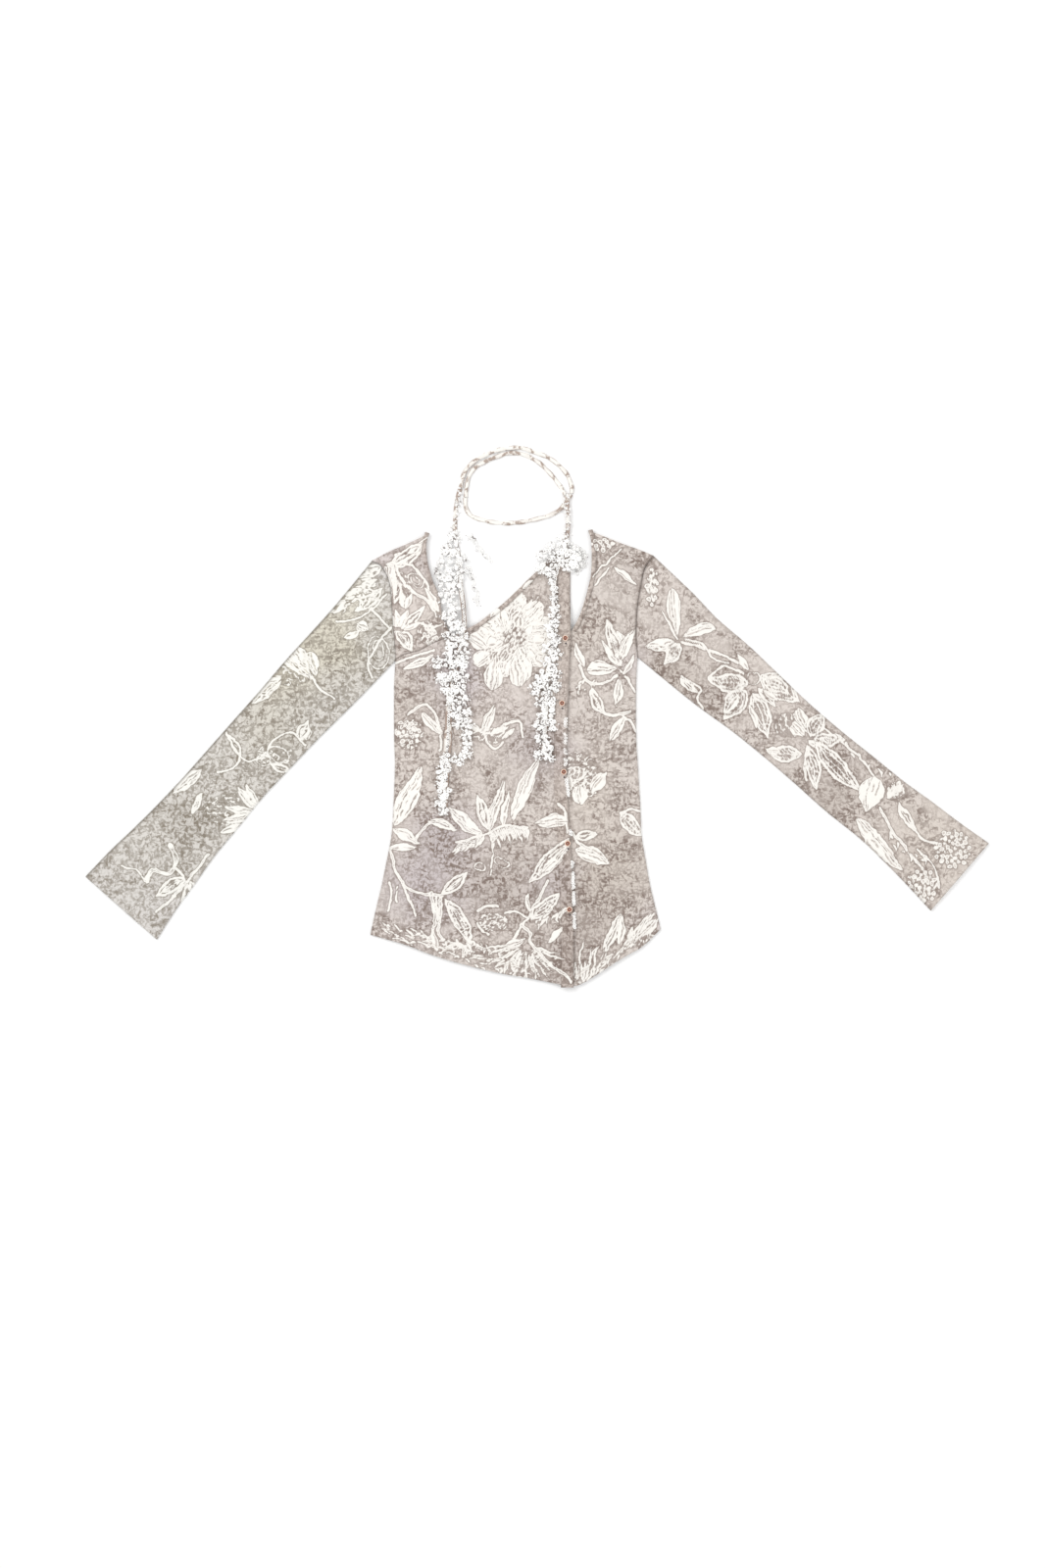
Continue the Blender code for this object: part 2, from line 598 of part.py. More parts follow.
def lace_tape(side, line):
    """The strip along the tail that the flowers are joined to."""
    high, low = LACE_TAPE_ENDS[side]
    middle = evenly(line[(line[:, 1] < high) & (line[:, 1] > low)][:, :2], 26)
    plan = np.stack([beside(middle, side_of * LACE_TAPE / 2) for side_of in (-1, 1)], axis=1)
    return wall(f"lace_{side}", plan, lace_underside(line, plan[..., 1]), LACE_CLOTH, "lace")


def lace_flower(line, x, y, radius, number):
    """A thin flower with five petals: a fan round its middle, drawn up, that follows the tail's slope."""
    angle = np.arange(LACE_OUTLINE) * 2 * math.pi / LACE_OUTLINE
    reach = radius * (LACE_VALLEY + (1 - LACE_VALLEY) * np.abs(np.cos(LACE_PETALS * angle / 2)))
    turned = angle + number
    ring = np.column_stack([x + reach * np.cos(turned), y + reach * np.sin(turned)])
    plan = np.vstack([ring, [(x, y)]])
    under = lace_underside(line, plan[:, 1]) + LACE_LEVELS[number % len(LACE_LEVELS)]
    low = np.column_stack([plan, under])
    high = low + (0.0, 0.0, LACE_CLOTH + LACE_LEVELS[-1])
    count = len(plan)
    index = np.arange(LACE_OUTLINE)
    after = np.roll(index, -1)
    middle = np.full(LACE_OUTLINE, LACE_OUTLINE)
    below = np.stack([after, index, middle], axis=1)
    above = np.stack([index, after, middle], axis=1) + count
    sides = np.stack([index, after, after + count, index + count], axis=1)
    return new_object("flower", np.vstack([low, high]), [*below, *above, *sides], "lace")


def lace(side):
    """Crochet lace on a tail: the tape and all its flowers as one body."""
    line = smooth_line(SCARF_TAIL[side], 300)
    made = lace_tape(side, line)
    flowers = [lace_flower(line, *row, number) for number, row in enumerate(LACE_FLOWERS[side])]
    for flower in flowers:
        join = made.modifiers.new("join", "BOOLEAN")
        join.operation = "UNION"
        join.object = flower
    joined_mesh = bpy.data.meshes.new_from_object(made.evaluated_get(bpy.context.evaluated_depsgraph_get()))
    made.modifiers.clear()
    made.data = joined_mesh
    for flower in flowers:
        bpy.data.objects.remove(flower)


def main():
    for old in list(bpy.data.objects):
        bpy.data.objects.remove(old)
    back_panel()
    main_front()
    side_front()
    yoke()
    sleeve("left")
    sleeve("right")
    bindings()
    button_band()
    buttons()
    scarf()
    lace("left")
    lace("right")


if __name__ == "__main__":
    main()
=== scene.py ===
"""The visible surfaces of a slim printed jersey top, laid flat with its neck scarf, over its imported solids.

Every size in the tables is in millimetres, as x and y in plan seen from above with the neck towards +Y, and
is turned into metres about MIDDLE where a mesh is made. Left and right are as seen from above.
"""

import math

import bpy
import numpy as np
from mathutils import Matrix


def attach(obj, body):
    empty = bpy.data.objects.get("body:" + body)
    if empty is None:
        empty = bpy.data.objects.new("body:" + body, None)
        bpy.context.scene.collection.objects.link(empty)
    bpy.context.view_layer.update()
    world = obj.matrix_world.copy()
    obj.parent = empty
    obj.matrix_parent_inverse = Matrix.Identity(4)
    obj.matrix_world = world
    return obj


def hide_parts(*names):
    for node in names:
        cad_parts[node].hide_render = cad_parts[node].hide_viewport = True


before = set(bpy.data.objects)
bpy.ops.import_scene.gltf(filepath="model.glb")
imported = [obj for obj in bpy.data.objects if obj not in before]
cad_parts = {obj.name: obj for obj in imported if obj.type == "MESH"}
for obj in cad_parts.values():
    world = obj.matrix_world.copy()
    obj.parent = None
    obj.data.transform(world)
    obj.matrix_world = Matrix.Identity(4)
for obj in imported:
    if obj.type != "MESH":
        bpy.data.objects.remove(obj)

bl_info = {
    "name": "Laid-out printed jersey top",
    "version": (1, 0, 0),
    "blender": (4, 5, 0),
    "location": "View3D > Sidebar > Top",
    "description": "Builds the cloth, print, buttons, scarf and lace of a long-sleeved top that lies flat",
    "category": "Object",
}

MM = 0.001
MIDDLE = (1.4, 0.9, 0.0)

# Cloth and seams
CLOTH = 1.2
BAND_CLOTH = 0.9
SEAM_GAP = 0.3
LAY_GAP = 0.3
LAP_GAP = 0.5
STRIP_GAP = 0.6
FRONT_UNDER = CLOTH + LAY_GAP
LAP_UNDER = FRONT_UNDER + CLOTH + LAP_GAP

# The body in plan
UNDERARM = {"left": (-201, 81), "right": (144, 85)}
SHOULDER = {"left": (-235, 223), "right": (167, 230)}
NECK_POINT = {"left": (-153, 262), "right": (74, 266)}
HEM_CORNER = {"left": (-237, -311), "right": (177, -303)}
HEM_POINT = (53, -386)
NECK_V = (-121, 114)
TOP_CORNER = (46, 244)
LAP_START = (49, 121)
SIDE_SEAM = {
    "left": [(-203, 44), (-203, -27), (-202, -70), (-204, -127), (-207, -170), (-214, -207), (-221, -241),
             (-230, -279)],
    "right": [(142, 44), (142, -27), (145, -79), (148, -127), (150, -170), (156, -207), (162, -241),
              (169, -270)],
}
ARMHOLE = {
    "left": [(-221, 215), (-210, 193), (-207, 168), (-205, 134), (-202, 101)],
    "right": [(154, 212), (149, 188), (144, 159), (142, 122)],
}
SHOULDER_LINE = {
    "left": [(-212, 235), (-182, 248)],
    "right": [(148, 238), (120, 248), (95, 258)],
}
HEM = {
    "left": [(-191, -324), (-148, -340), (-105, -353), (-51, -366), (-5, -374)],
    "right": [(152, -327), (123, -344), (89, -366), (68, -379)],
}
ARMHOLE_STEPS = 12
YOKE_STEPS = 8
UNDERLAP = 17.0
HEM_TURNED_BACK = 6.0
BUTTONED_EDGE = [(46, 44), (44, -5), (43, -82), (46, -138), (50, -208), (53, -299)]
UPPER_EDGE = [(48, 163), (48, 204)]
SLANTED_NECK = [(-103, 124), (-85, 133), (-70, 144), (-57, 154), (-44, 165), (-24, 184), (-11, 197), (4, 211),
                (25, 230)]
YOKE_SEAM = [(-188, 89), (-168, 94), (-147, 105), (-134, 110)]
LEFT_NECK = [(-130, 134), (-135, 148), (-138, 169), (-142, 181), (-149, 197), (-156, 225), (-157, 248)]
RIGHT_NECK = [(56, 133), (63, 148), (70, 170), (74, 185), (78, 204), (79, 228), (78, 252)]
BACK_NECK = [(-163, 246), (-164, 219), (-159, 184), (-149, 142), (-132, 107), (-97, 89), (-38, 81), (18, 86),
             (54, 104), (75, 139), (86, 184), (89, 226), (84, 251)]

# How the fronts stand off the back
LOFT = 1.9
LOFT_RUN = 60.0
LAP_RUN = 26.0
DROP_START = 124.0
DROP_RUN = 55.0
# Each fold's middle x, y, heading in degrees, half length, half width and height: first the solids' folds
FRONT_FOLDS = [
    (-168, -96, 88, 95, 11, 1.5), (-140, -149, 84, 80, 13, 1.2), (-173, 36, -38, 46, 10, 1.3),
    (-150, 11, -52, 50, 11, 1.0), (113, 41, 218, 44, 10, 1.3), (93, 16, 232, 48, 11, 0.9),
    (110, -104, 4, 42, 9, 1.1), (113, -160, -5, 44, 9, 1.3), (107, -216, -9, 44, 10, 1.1),
    (-38, -236, 10, 70, 14, 1.0), (-59, -54, 76, 70, 14, 0.9), (-10, -292, 68, 46, 13, 0.9),
    (-129, -271, 100, 46, 13, 1.1),
]
# and the finer creases that only show
FINE_CREASES = [
    (-183, 60, -30, 26, 5, 0.5), (-170, 18, -55, 30, 6, 0.6), (-128, 70, -64, 26, 6, 0.5),
    (-186, -30, 84, 40, 5, 0.5), (-150, -60, 97, 46, 7, 0.5), (-96, -120, 78, 50, 8, 0.4),
    (96, -215, 6, 34, 4, 0.7), (118, -232, -3, 36, 4, 0.8), (98, -248, -6, 34, 4, 0.7),
    (124, -262, 5, 30, 4, 0.6), (128, 62, 225, 24, 5, 0.6), (104, 92, 245, 26, 5, 0.5),
    (90, -40, 82, 40, 6, 0.5), (-60, -330, 20, 50, 6, 0.5), (-160, -300, 70, 26, 5, 0.5),
    (10, -150, 85, 50, 6, 0.4),
]

# Sleeves: the middle of each armhole and cuff, and rows of share along and half width
SLEEVE_ENDS = {"left": ((-218, 152), (-593, -273)), "right": ((156, 157), (604, -229))}
SLEEVE_UPPER = {
    "left": [(0.06, 57), (0.15, 57), (0.25, 58), (0.35, 57), (0.45, 57), (0.55, 57), (0.65, 57), (0.75, 59),
             (0.83, 62), (0.91, 66), (1.0, 68)],
    "right": [(0.06, 59), (0.15, 54), (0.25, 54), (0.35, 51), (0.45, 48), (0.55, 48), (0.65, 50), (0.75, 52),
              (0.83, 56), (0.91, 59), (1.0, 64)],
}
SLEEVE_LOWER = {
    "left": [(0.15, 58), (0.25, 55), (0.35, 51), (0.45, 49), (0.55, 47), (0.65, 49), (0.75, 51), (0.83, 56),
             (0.91, 60), (1.0, 68)],
    "right": [(0.15, 61), (0.25, 59), (0.35, 54), (0.45, 52), (0.55, 52), (0.65, 53), (0.75, 51), (0.83, 53),
              (0.91, 57), (1.0, 63)],
}
SLEEVE_GRID = (350, 72)
# The points of a fold: how far in from its edge, and their height as a share of the skin's
FOLD_IN = np.array([0.0, 0.3, 1.1])
FOLD_UP = np.array([0.5, 0.86, 1.0])
SLEEVE_LOFT = 1.6
SLEEVE_FULLNESS = 0.8
SLEEVE_SEAM_RUN = 0.07
# Each sleeve crease's share along, lean across, half width as a share, and height: first the solids' creases,
# then finer ones that only show
SLEEVE_CREASES = [(0.10, 0.10, 0.022, 1.2), (0.21, -0.08, 0.020, 0.9), (0.42, 0.09, 0.016, 1.3),
                  (0.50, -0.06, 0.016, 1.5), (0.58, 0.07, 0.018, 1.1), (0.80, -0.10, 0.024, 1.0)]
FINE_SLEEVE_CREASES = [(0.06, 0.16, 0.008, 0.5), (0.15, -0.12, 0.008, 0.5), (0.31, 0.10, 0.010, 0.4),
                       (0.46, 0.02, 0.007, 0.5), (0.54, -0.10, 0.008, 0.5), (0.66, 0.12, 0.009, 0.4),
                       (0.72, -0.06, 0.009, 0.4), (0.88, 0.08, 0.010, 0.4)]
CUFF_TURN = 0.035

# Stitching: the hem's rows past its depth, and how far in from the edge the other rows lie
HEM_ROWS = (0.0, 3.0)
YOKE_STITCH_IN = 3.0
ARMHOLE_STITCH_IN = 2.5
BAND_STITCH_IN = 1.8

# Bindings, button band and buttons
BINDING_WIDTH = 6.0
BAND_WIDTH = 18.0
BUTTONS = [(41.0, 112.4), (36.3, 19.6), (38.8, -78.5), (44.4, -180.6), (46.9, -275.0)]
BAND_STEPS = 12
BINDING_STEPS = 6
BUTTON_RADIUS = 4.2
BUTTON_HEIGHT = 2.0
BUTTON_SIDES = 36
# The turned profile's reach and height, as shares of the radius and the height
BUTTON_PROFILE = np.array([
    (0.0, 0.0), (0.8, 0.0), (0.93, 0.12), (1.0, 0.35), (1.0, 0.62), (0.96, 0.86), (0.89, 0.98), (0.8, 1.0),
    (0.73, 0.93), (0.68, 0.8), (0.6, 0.7), (0.4, 0.63), (0.2, 0.6), (0.0, 0.6),
])
BUTTON_HOLE_OUT = 1.1
BUTTONHOLE_DROP = 7.6
# The picot trim: the step between loops, how far they lie outside the edge and draw in near its top, and the
# upper and lower y of each run
PICOT_STEP = 2.0
PICOT_OUT = 0.9
PICOT_IN = 3.6
PICOT_IN_FROM = -120.0
PICOT_IN_RUN = 90.0
PICOT_RUNS = [(-1, -15), (-24, -39), (-46, -53), (-60, -70), (-88, -114), (-161, -170), (-205, -216),
              (-221, -246), (-249, -269), (-279, -302)]

# The neck scarf: each stretch's x, y and height of its underside
STRAND_WIDTH = 5.6
STRAND_HEIGHT = 3.0
TAIL_HEIGHT = 1.8
SCARF_SIDES = 14
# How fast the ridge of a stretch and of a tail winds, in radians a millimetre, and how high it is, as a share
STRAND_RIDGE = (0.3, 0.13)
TAIL_RIDGE = (0.12, 0.08)
TAIL_WIDTHS = {
    "left": [5.6, 5.6, 5.6, 6.5, 7.0, 7.5, 9.0, 11.0, 11.0, 11.0],
    "right": [5.6, 5.6, 6.0, 7.0, 7.0],
}
SCARF = {
    "outer": [(-108, 327, 0), (-105, 344, 0), (-96, 359, 0), (-79, 371, 0), (-59, 380, 0), (-37, 384, 0),
              (-20, 384, 0), (-3, 378, 0), (14, 372, 0), (29, 362, 0), (43, 347, 0), (50, 330, 0),
              (50, 319, 0)],
    "front": [(49, 318, 0), (43, 307, 0), (33, 296, 0), (19, 288, 0), (2, 283, 0), (-25, 278, 0),
              (-52, 277, 0), (-76, 281, 0), (-94, 288, 0), (-101, 300, 0), (-102, 313, 0)],
    "inner": [(-101, 314, 0), (-100, 328, 0), (-97, 342, 0), (-90, 354, 0), (-75, 364, 0), (-56, 372, 0),
              (-38, 377, 0), (-19, 375, 0), (-6, 369, 0), (5, 362, 0), (21, 346, 0), (32, 332, 0.5),
              (41, 317, 2.6)],
}
SCARF_TAIL = {
    "left": [(-109, 326, 0), (-114, 309, 0), (-116, 288, 0), (-116, 261, 0), (-112, 233, 0), (-110, 205, 1.6),
             (-107, 177, 4.6), (-104, 153, 5.8), (-103, 131, 6.3), (-106, 117, 6.4), (-110, 97, 5.6),
             (-118, 58, 5.4), (-124, 19, 5.4), (-126, -19, 5.5), (-128, -54, 5.8), (-131, -93, 5.9),
             (-132, -129, 6.2)],
    "right": [(42, 316, 3.5), (44, 305, 3.5), (45, 281, 3.4), (44, 261, 3.2), (41, 244, 3.1), (33, 219, 3.1),
              (26, 193, 3.1), (24, 163, 3.6), (23, 128, 6.4), (21, 93, 6.3), (14, 51, 6.0), (14, 9, 6.0),
              (12, -26, 5.9), (11, -57, 5.9)],
}

# Crochet lace on the tails
LACE_LIFT = 0.5
LACE_TAPE_ENDS = {"left": (252.0, -128.0), "right": (246.0, -52.0)}
LACE_SEED = {"left": 11, "right": 23}
# Rounds of rings in a flower: how many; their reach, radius and thread as shares of its radius; their first
# heading in radians, and their height
LACE_ROUNDS = [
    (5, 0.56, 0.19, 0.15, 0.0, 0.9), (5, 0.58, 0.06, 0.08, 0.0, 1.6), (6, 0.90, 0.06, 0.07, 0.63, 0.7),
    (4, 0.72, 0.12, 0.06, 0.3, 1.2), (1, 0.0, 0.13, 0.12, 0.0, 1.6),
]
LACE_WISPS = {
    "left": [[(-97, 261), (-86, 246), (-74, 232), (-66, 223)], [(-97, 219), (-90, 190), (-83, 159)],
             [(-136, 226), (-143, 212), (-138, 196)]],
    "right": [[(50, 244), (62, 238), (68, 228), (64, 214), (56, 208)]],
}
LACE_FLOWERS = {  # x, y, radius
    "left": [
        (-117, 256, 11.2), (-125, 237, 12.6), (-108, 226, 11.2), (-129, 216, 12.6), (-112, 205, 12.6),
        (-131, 194, 12.6), (-117, 184, 11.2), (-129, 172, 12.6), (-118, 156, 11.2), (-126, 141, 12.6),
        (-112, 127, 12.6), (-125, 114, 11.2), (-105, 109, 11.2), (-121, 96, 12.6), (-103, 90, 9.8),
        (-142, 78, 10.5), (-124, 78, 11.2), (-108, 74, 11.2), (-135, 55, 10.5), (-118, 58, 11.2),
        (-104, 57, 9.1), (-126, 39, 11.2), (-111, 41, 11.2), (-121, 23, 9.8), (-105, 25, 10.5),
        (-114, 6, 11.2), (-100, 6, 8.4), (-111, -10, 9.8), (-98, -10, 9.1), (-100, -26, 9.4), (-99, -40, 9.0),
        (-99, -52, 8.6), (-111, -61, 10.5), (-128, -61, 11.2), (-132, -76, 11.2), (-135, -93, 10.5),
        (-131, -107, 11.2), (-136, -121, 9.8), (-133, -134, 8.4),
    ],
    "right": [
        (37, 250, 9.8), (21, 240, 11.2), (7, 230, 9.1), (37, 232, 11.2), (54, 235, 10.4), (56, 221, 11.0),
        (25, 222, 10.5), (43, 216, 10.6), (7, 212, 9.8), (19, 207, 9.8), (22, 193, 7.0), (25, 181, 7.0),
        (25, 169, 7.0), (26, 156, 8.4), (26, 142, 9.8), (21, 127, 10.5), (25, 111, 11.2), (16, 97, 10.5),
        (28, 90, 9.8), (19, 76, 11.9), (26, 60, 10.5), (8, 57, 11.9), (-3, 40, 9.8), (14, 40, 11.9),
        (28, 43, 8.4), (5, 22, 9.8), (20, 22, 9.6), (14, 5, 14.0), (4, -12, 9.8), (22, -12, 9.8),
        (8, -29, 10.5), (15, -43, 9.8), (4, -54, 9.1), (18, -58, 9.1),
    ],
}

# The print, placed by pixels of the photograph: millimetres across a pixel, and the pixel of x 0, y 0.
# leaf and open: base x, y, tip x, y, half width, bend. petal: the same, blunt. stem: half width, points.
# berries: middle x, y, half width, half height, how many. bloom and rose: middle x, y, radius.
# burst: middle x, y, first and last heading in degrees, how many strokes, inner and outer reach.
# fringe: how many, reach x, y, points of the stem it hangs from. oval: middle x, y, half axes, lean.
# curls: middle x, y, half width, half height, size.
# dabs: how many, length, heading, spread, points they lie by.
PRINT_PIXEL = 1.4
PRINT_MIDDLE = (547.3, 731.6)
PRINT_GAP = 0.8
BAND_PRINT_TOP = 735
BACK_PRINT_SHIFT = 40.0
GOLDEN_ANGLE = 2.39996
# How far the painted shade of a seam and of a fold reaches, and the weight of each sleeve's seam and of
# its folds, the upper one first
SEAM_SHADE = 2.0
FOLD_REACH = 2.4
SEAM_WEIGHT = {"left": 0.5, "right": 1.0}
FOLD_SHADE = {"left": (1.0, 0.1), "right": (0.3, 0.5)}
PRINT = {
    "yoke": [
        ("stem", 0.8, (402, 566), (420, 558), (437, 549)),
        ("open", 404, 579, 433, 553, 5.5, -2),
        ("petal", 402, 614, 396, 573, 6.5, 0),
        ("open", 431, 555, 394, 577, 6, 1),
        ("stem", 0.8, (412, 574), (426, 582), (436, 596), (446, 622)),
        ("stem", 0.6, (408, 588), (418, 600), (434, 612), (446, 630)),
        ("leaf", 447, 623, 434, 598, 3.2, 0),
        ("leaf", 413, 621, 408, 603, 3.6, 0),
        ("leaf", 414, 621, 420, 605, 3.2, 0),
        ("stem", 1.1, (404, 577), (410, 592), (420, 603), (434, 611), (447, 624)),
        ("stem", 0.9, (400, 574), (404, 590), (408, 604), (403, 616)),
        ("oval", 425, 592, 9, 6, 35),
        ("oval", 424, 592, 5, 3, 35),
        ("leaf", 409, 640, 404, 622, 3.6, 0),
        ("leaf", 410, 640, 417, 622, 4, 0.6),
        ("open", 410, 641, 434, 618, 5.5, -1.2),
        ("leaf", 412, 643, 430, 636, 2.6, 0),
        ("leaf", 406, 640, 397, 625, 2.4, 0.6),
        ("open", 402, 643, 420, 667, 7, 3),
        ("curls", 438, 646, 13, 12, 8),
        ("curls", 408, 600, 10, 16, 9),
        ("berries", 438, 648, 9, 9, 12),
        ("stem", 0.6, (426, 636), (440, 640), (452, 638)),
    ],
    "binding_slanted": [
        ("petal", 500, 630, 509, 622, 3.4, 0),
        ("petal", 533, 602, 545, 592, 3.4, 0),
        ("leaf", 550, 586, 557, 578, 2.6, 0),
    ],
    "front_main": [
        ("stem", 0.9, (402, 678), (420, 671), (442, 663)),
        ("open", 412, 684, 443, 667, 4, -1),
        ("stem", 1.0, (417, 729), (430, 720), (443, 725), (449, 745), (449, 766)),
        ("leaf", 430, 727, 453, 750, 4.6, -1),
        ("curls", 417, 748, 15, 16, 8),
        ("berries", 417, 748, 13, 14, 22),
        ("leaf", 401, 843, 430, 781, 10, -2),
        ("leaf", 399, 846, 429, 862, 5.5, 2),
        ("leaf", 398, 864, 426, 864, 4.0, 0),
        ("stem", 1.0, (424, 856), (431, 846), (441, 839)),
        ("leaf", 436, 838, 468, 848, 5, 1.6),
        ("stem", 1.1, (398, 865), (402, 885), (409, 899), (424, 909), (452, 915)),
        ("stem", 0.8, (412, 903), (418, 918), (424, 934)),
        ("stem", 0.7, (406, 905), (404, 920)),
        ("open", 450, 913, 477, 890, 6.5, -1),
        ("stem", 1.3, (440, 911), (443, 930), (442, 948), (436, 966)),
        ("stem", 1.2, (450, 914), (449, 932), (447, 948), (452, 960)),
        ("stem", 0.8, (446, 916), (446, 940)),
        ("open", 454, 917, 482, 966, 8, 2),
        ("bloom", 525, 650, 45),
        ("petal", 506, 668, 502, 705, 9.5, 0),
        ("petal", 526, 668, 531, 701, 9, 0),
        ("petal", 500, 662, 480, 648, 8, 1),
        ("petal", 500, 666, 484, 678, 8, -1),
        ("curls", 536, 618, 20, 13, 12),
        ("leaf", 492, 748, 505, 718, 5, -1),
        ("stem", 0.9, (468, 730), (484, 742), (498, 748), (515, 740), (530, 737), (534, 752)),
        ("leaf", 492, 748, 477, 737, 3, 0),
        ("leaf", 500, 748, 520, 742, 3, 1),
        ("stem", 0.9, (493, 748), (498, 759), (506, 764), (513, 758)),
        ("leaf", 525, 744, 512, 754, 2.4, 0),
        ("leaf", 522, 838, 551, 770, 7.5, 1),
        ("leaf", 497, 850, 515, 794, 5.2, 0),
        ("leaf", 512, 845, 519, 805, 3.5, 0),
        ("open", 497, 846, 487, 810, 6, -1),
        ("leaf", 492, 853, 456, 822, 7.2, 1),
        ("fringe", 13, (-9, 12), (470, 858), (482, 855), (494, 852)),
        ("fringe", 17, (7, 15), (497, 851), (512, 845), (534, 843)),
        ("stem", 0.9, (466, 859), (494, 852), (514, 843), (538, 844)),
        ("stem", 0.6, (500, 855), (503, 872), (500, 892)),
        ("oval", 512, 880, 8, 4, 25),
        ("oval", 490, 884, 5, 4, -20),
        ("stem", 1.0, (568, 820), (577, 829), (578, 850)),
        ("leaf", 581, 838, 546, 840, 7, -1.5),
        ("open", 581, 855, 539, 902, 8.5, 1),
        ("leaf", 578, 862, 551, 893, 4.4, 1),
        ("curls", 503, 941, 15, 9, 6),
        ("stem", 1.0, (488, 930), (497, 925), (508, 925)),
        ("stem", 0.7, (486, 942), (491, 949), (499, 953)),
        ("curls", 500, 750, 20, 8, 9),
        ("stem", 1.0, (558, 898), (552, 912), (541, 932), (521, 961)),
        ("open", 541, 938, 571, 911, 8, -1),
        ("leaf", 541, 932, 538, 909, 2.6, 1),
        ("stem", 1.2, (531, 944), (540, 952), (541, 962)),
        ("stem", 0.8, (515, 932), (526, 929), (536, 936)),
        ("dabs", 26, 14, -30, 30, (388, 944), (420, 951), (450, 964), (484, 970)),
        ("dabs", 34, 15, -16, 24, (400, 954), (440, 966), (480, 980), (530, 994)),
        ("dabs", 20, 14, -56, 24, (450, 958), (500, 966), (524, 978)),
        ("stem", 1.3, (458, 966), (466, 963), (473, 967), (472, 976)),
        ("burst", 538, 962, 186, 342, 34, 9, 48),
        ("burst", 520, 976, 200, 300, 12, 4, 26),
        ("dabs", 14, 14, 50, 30, (548, 946), (562, 940), (576, 934)),
        ("petal", 536, 958, 514, 965, 5, 1),
        ("stem", 1.2, (541, 960), (556, 978), (582, 1001)),
        ("leaf", 560, 962, 574, 944, 3, 0),
        ("stem", 0.7, (395, 930), (400, 915), (396, 900)),
        ("leaf", 447, 972, 440, 945, 3, 0),
        ("stem", 0.6, (452, 972), (462, 962), (474, 965), (476, 976)),
    ],
    "front_side": [
        ("leaf", 626, 578, 649, 598, 3, 0),
        ("stem", 0.7, (608, 597), (614, 588), (621, 579)),
        ("stem", 0.6, (604, 590), (612, 580), (620, 574), (634, 560)),
        ("berries", 612, 556, 14, 7, 14),
        ("petal", 632, 676, 629, 643, 8.5, 0),
        ("open", 633, 680, 618, 632, 7, -1),
        ("leaf", 631, 680, 613, 652, 3, 1),
        ("leaf", 634, 674, 648, 640, 5.5, 1.2),
        ("petal", 630, 684, 598, 683, 8, -2),
        ("dabs", 8, 9, 75, 20, (591, 706), (596, 702), (604, 704)),
        ("stem", 1.0, (591, 680), (598, 694), (612, 699), (630, 690)),
        ("petal", 588, 656, 596, 680, 4, -2),
        ("stem", 0.8, (632, 684), (642, 694), (648, 706)),
        ("leaf", 632, 692, 628, 722, 4.6, 1),
        ("leaf", 636, 690, 648, 668, 2.6, 0),
        ("open", 616, 730, 603, 701, 6, 2),
        ("stem", 1.2, (612, 727), (622, 730), (642, 726)),
        ("leaf", 638, 731, 621, 757, 5.4, 0),
        ("stem", 0.8, (636, 730), (646, 740), (650, 750)),
        ("rose", 588, 796, 22),
        ("curls", 590, 790, 20, 22, 9),
        ("leaf", 592, 822, 590, 800, 8, 0),
        ("leaf", 603, 808, 619, 787, 6, 0),
        ("open", 586, 853, 609, 851, 5.5, 0),
        ("leaf", 586, 866, 624, 882, 8, 1),
        ("stem", 1.1, (583, 850), (590, 860), (602, 866)),
        ("open", 632, 829, 657, 853, 8, -1),
        ("stem", 0.8, (632, 829), (645, 826), (657, 829)),
        ("leaf", 616, 972, 636, 930, 5, 1),
        ("leaf", 630, 964, 635, 934, 4, -1),
        ("leaf", 640, 964, 645, 944, 3.5, 0),
        ("leaf", 645, 962, 668, 931, 5.5, 1),
        ("leaf", 652, 956, 672, 936, 5, -1.5),
        ("curls", 656, 955, 16, 10, 8),
        ("burst", 592, 1010, 30, 104, 17, 6, 54),
        ("burst", 606, 998, 20, 80, 9, 4, 36),
        ("dabs", 16, 13, 40, 24, (612, 990), (628, 976), (642, 968)),
    ],
    "sleeve_left": [
        ("stem", 0.9, (398, 640), (385, 628), (372, 616), (352, 600)),
        ("open", 392, 575, 360, 590, 6, 2),
        ("open", 390, 600, 362, 624, 6, 2),
        ("open", 384, 606, 350, 606, 6, -2),
        ("open", 386, 590, 340, 628, 5, -3),
        ("stem", 0.7, (382, 582), (368, 600), (346, 614), (336, 626)),
        ("stem", 0.7, (394, 606), (380, 622), (360, 632), (344, 634)),
        ("dabs", 14, 11, -140, 40, (384, 590), (366, 606), (346, 618)),
        ("petal", 376, 644, 364, 636, 6, 0),
        ("leaf", 366, 644, 350, 652, 4, 1),
        ("oval", 386, 666, 11, 17, -12),
        ("oval", 386, 664, 6, 11, -12),
        ("stem", 0.9, (400, 640), (388, 652), (376, 676), (380, 692)),
        ("curls", 296, 682, 24, 18, 10),
        ("petal", 318, 694, 286, 664, 9, -2),
        ("petal", 322, 684, 300, 660, 8, 2),
        ("petal", 322, 690, 316, 664, 7, 0),
        ("stem", 0.8, (318, 690), (328, 706), (342, 712)),
        ("leaf", 288, 692, 256, 720, 8, -2),
        ("petal", 282, 694, 268, 708, 6, 1),
        ("open", 306, 756, 314, 734, 6, 0),
        ("oval", 313, 748, 4, 6, 20),
        ("stem", 0.8, (312, 760), (296, 748), (280, 756), (268, 772), (252, 776), (240, 764), (232, 748)),
        ("curls", 280, 770, 20, 10, 9),
        ("oval", 284, 770, 12, 7, 20),
        ("oval", 268, 776, 7, 5, 0),
        ("stem", 0.8, (232, 750), (246, 762), (240, 782), (222, 788)),
        ("open", 296, 786, 274, 778, 5, 1),
        ("leaf", 206, 786, 176, 812, 6, -1),
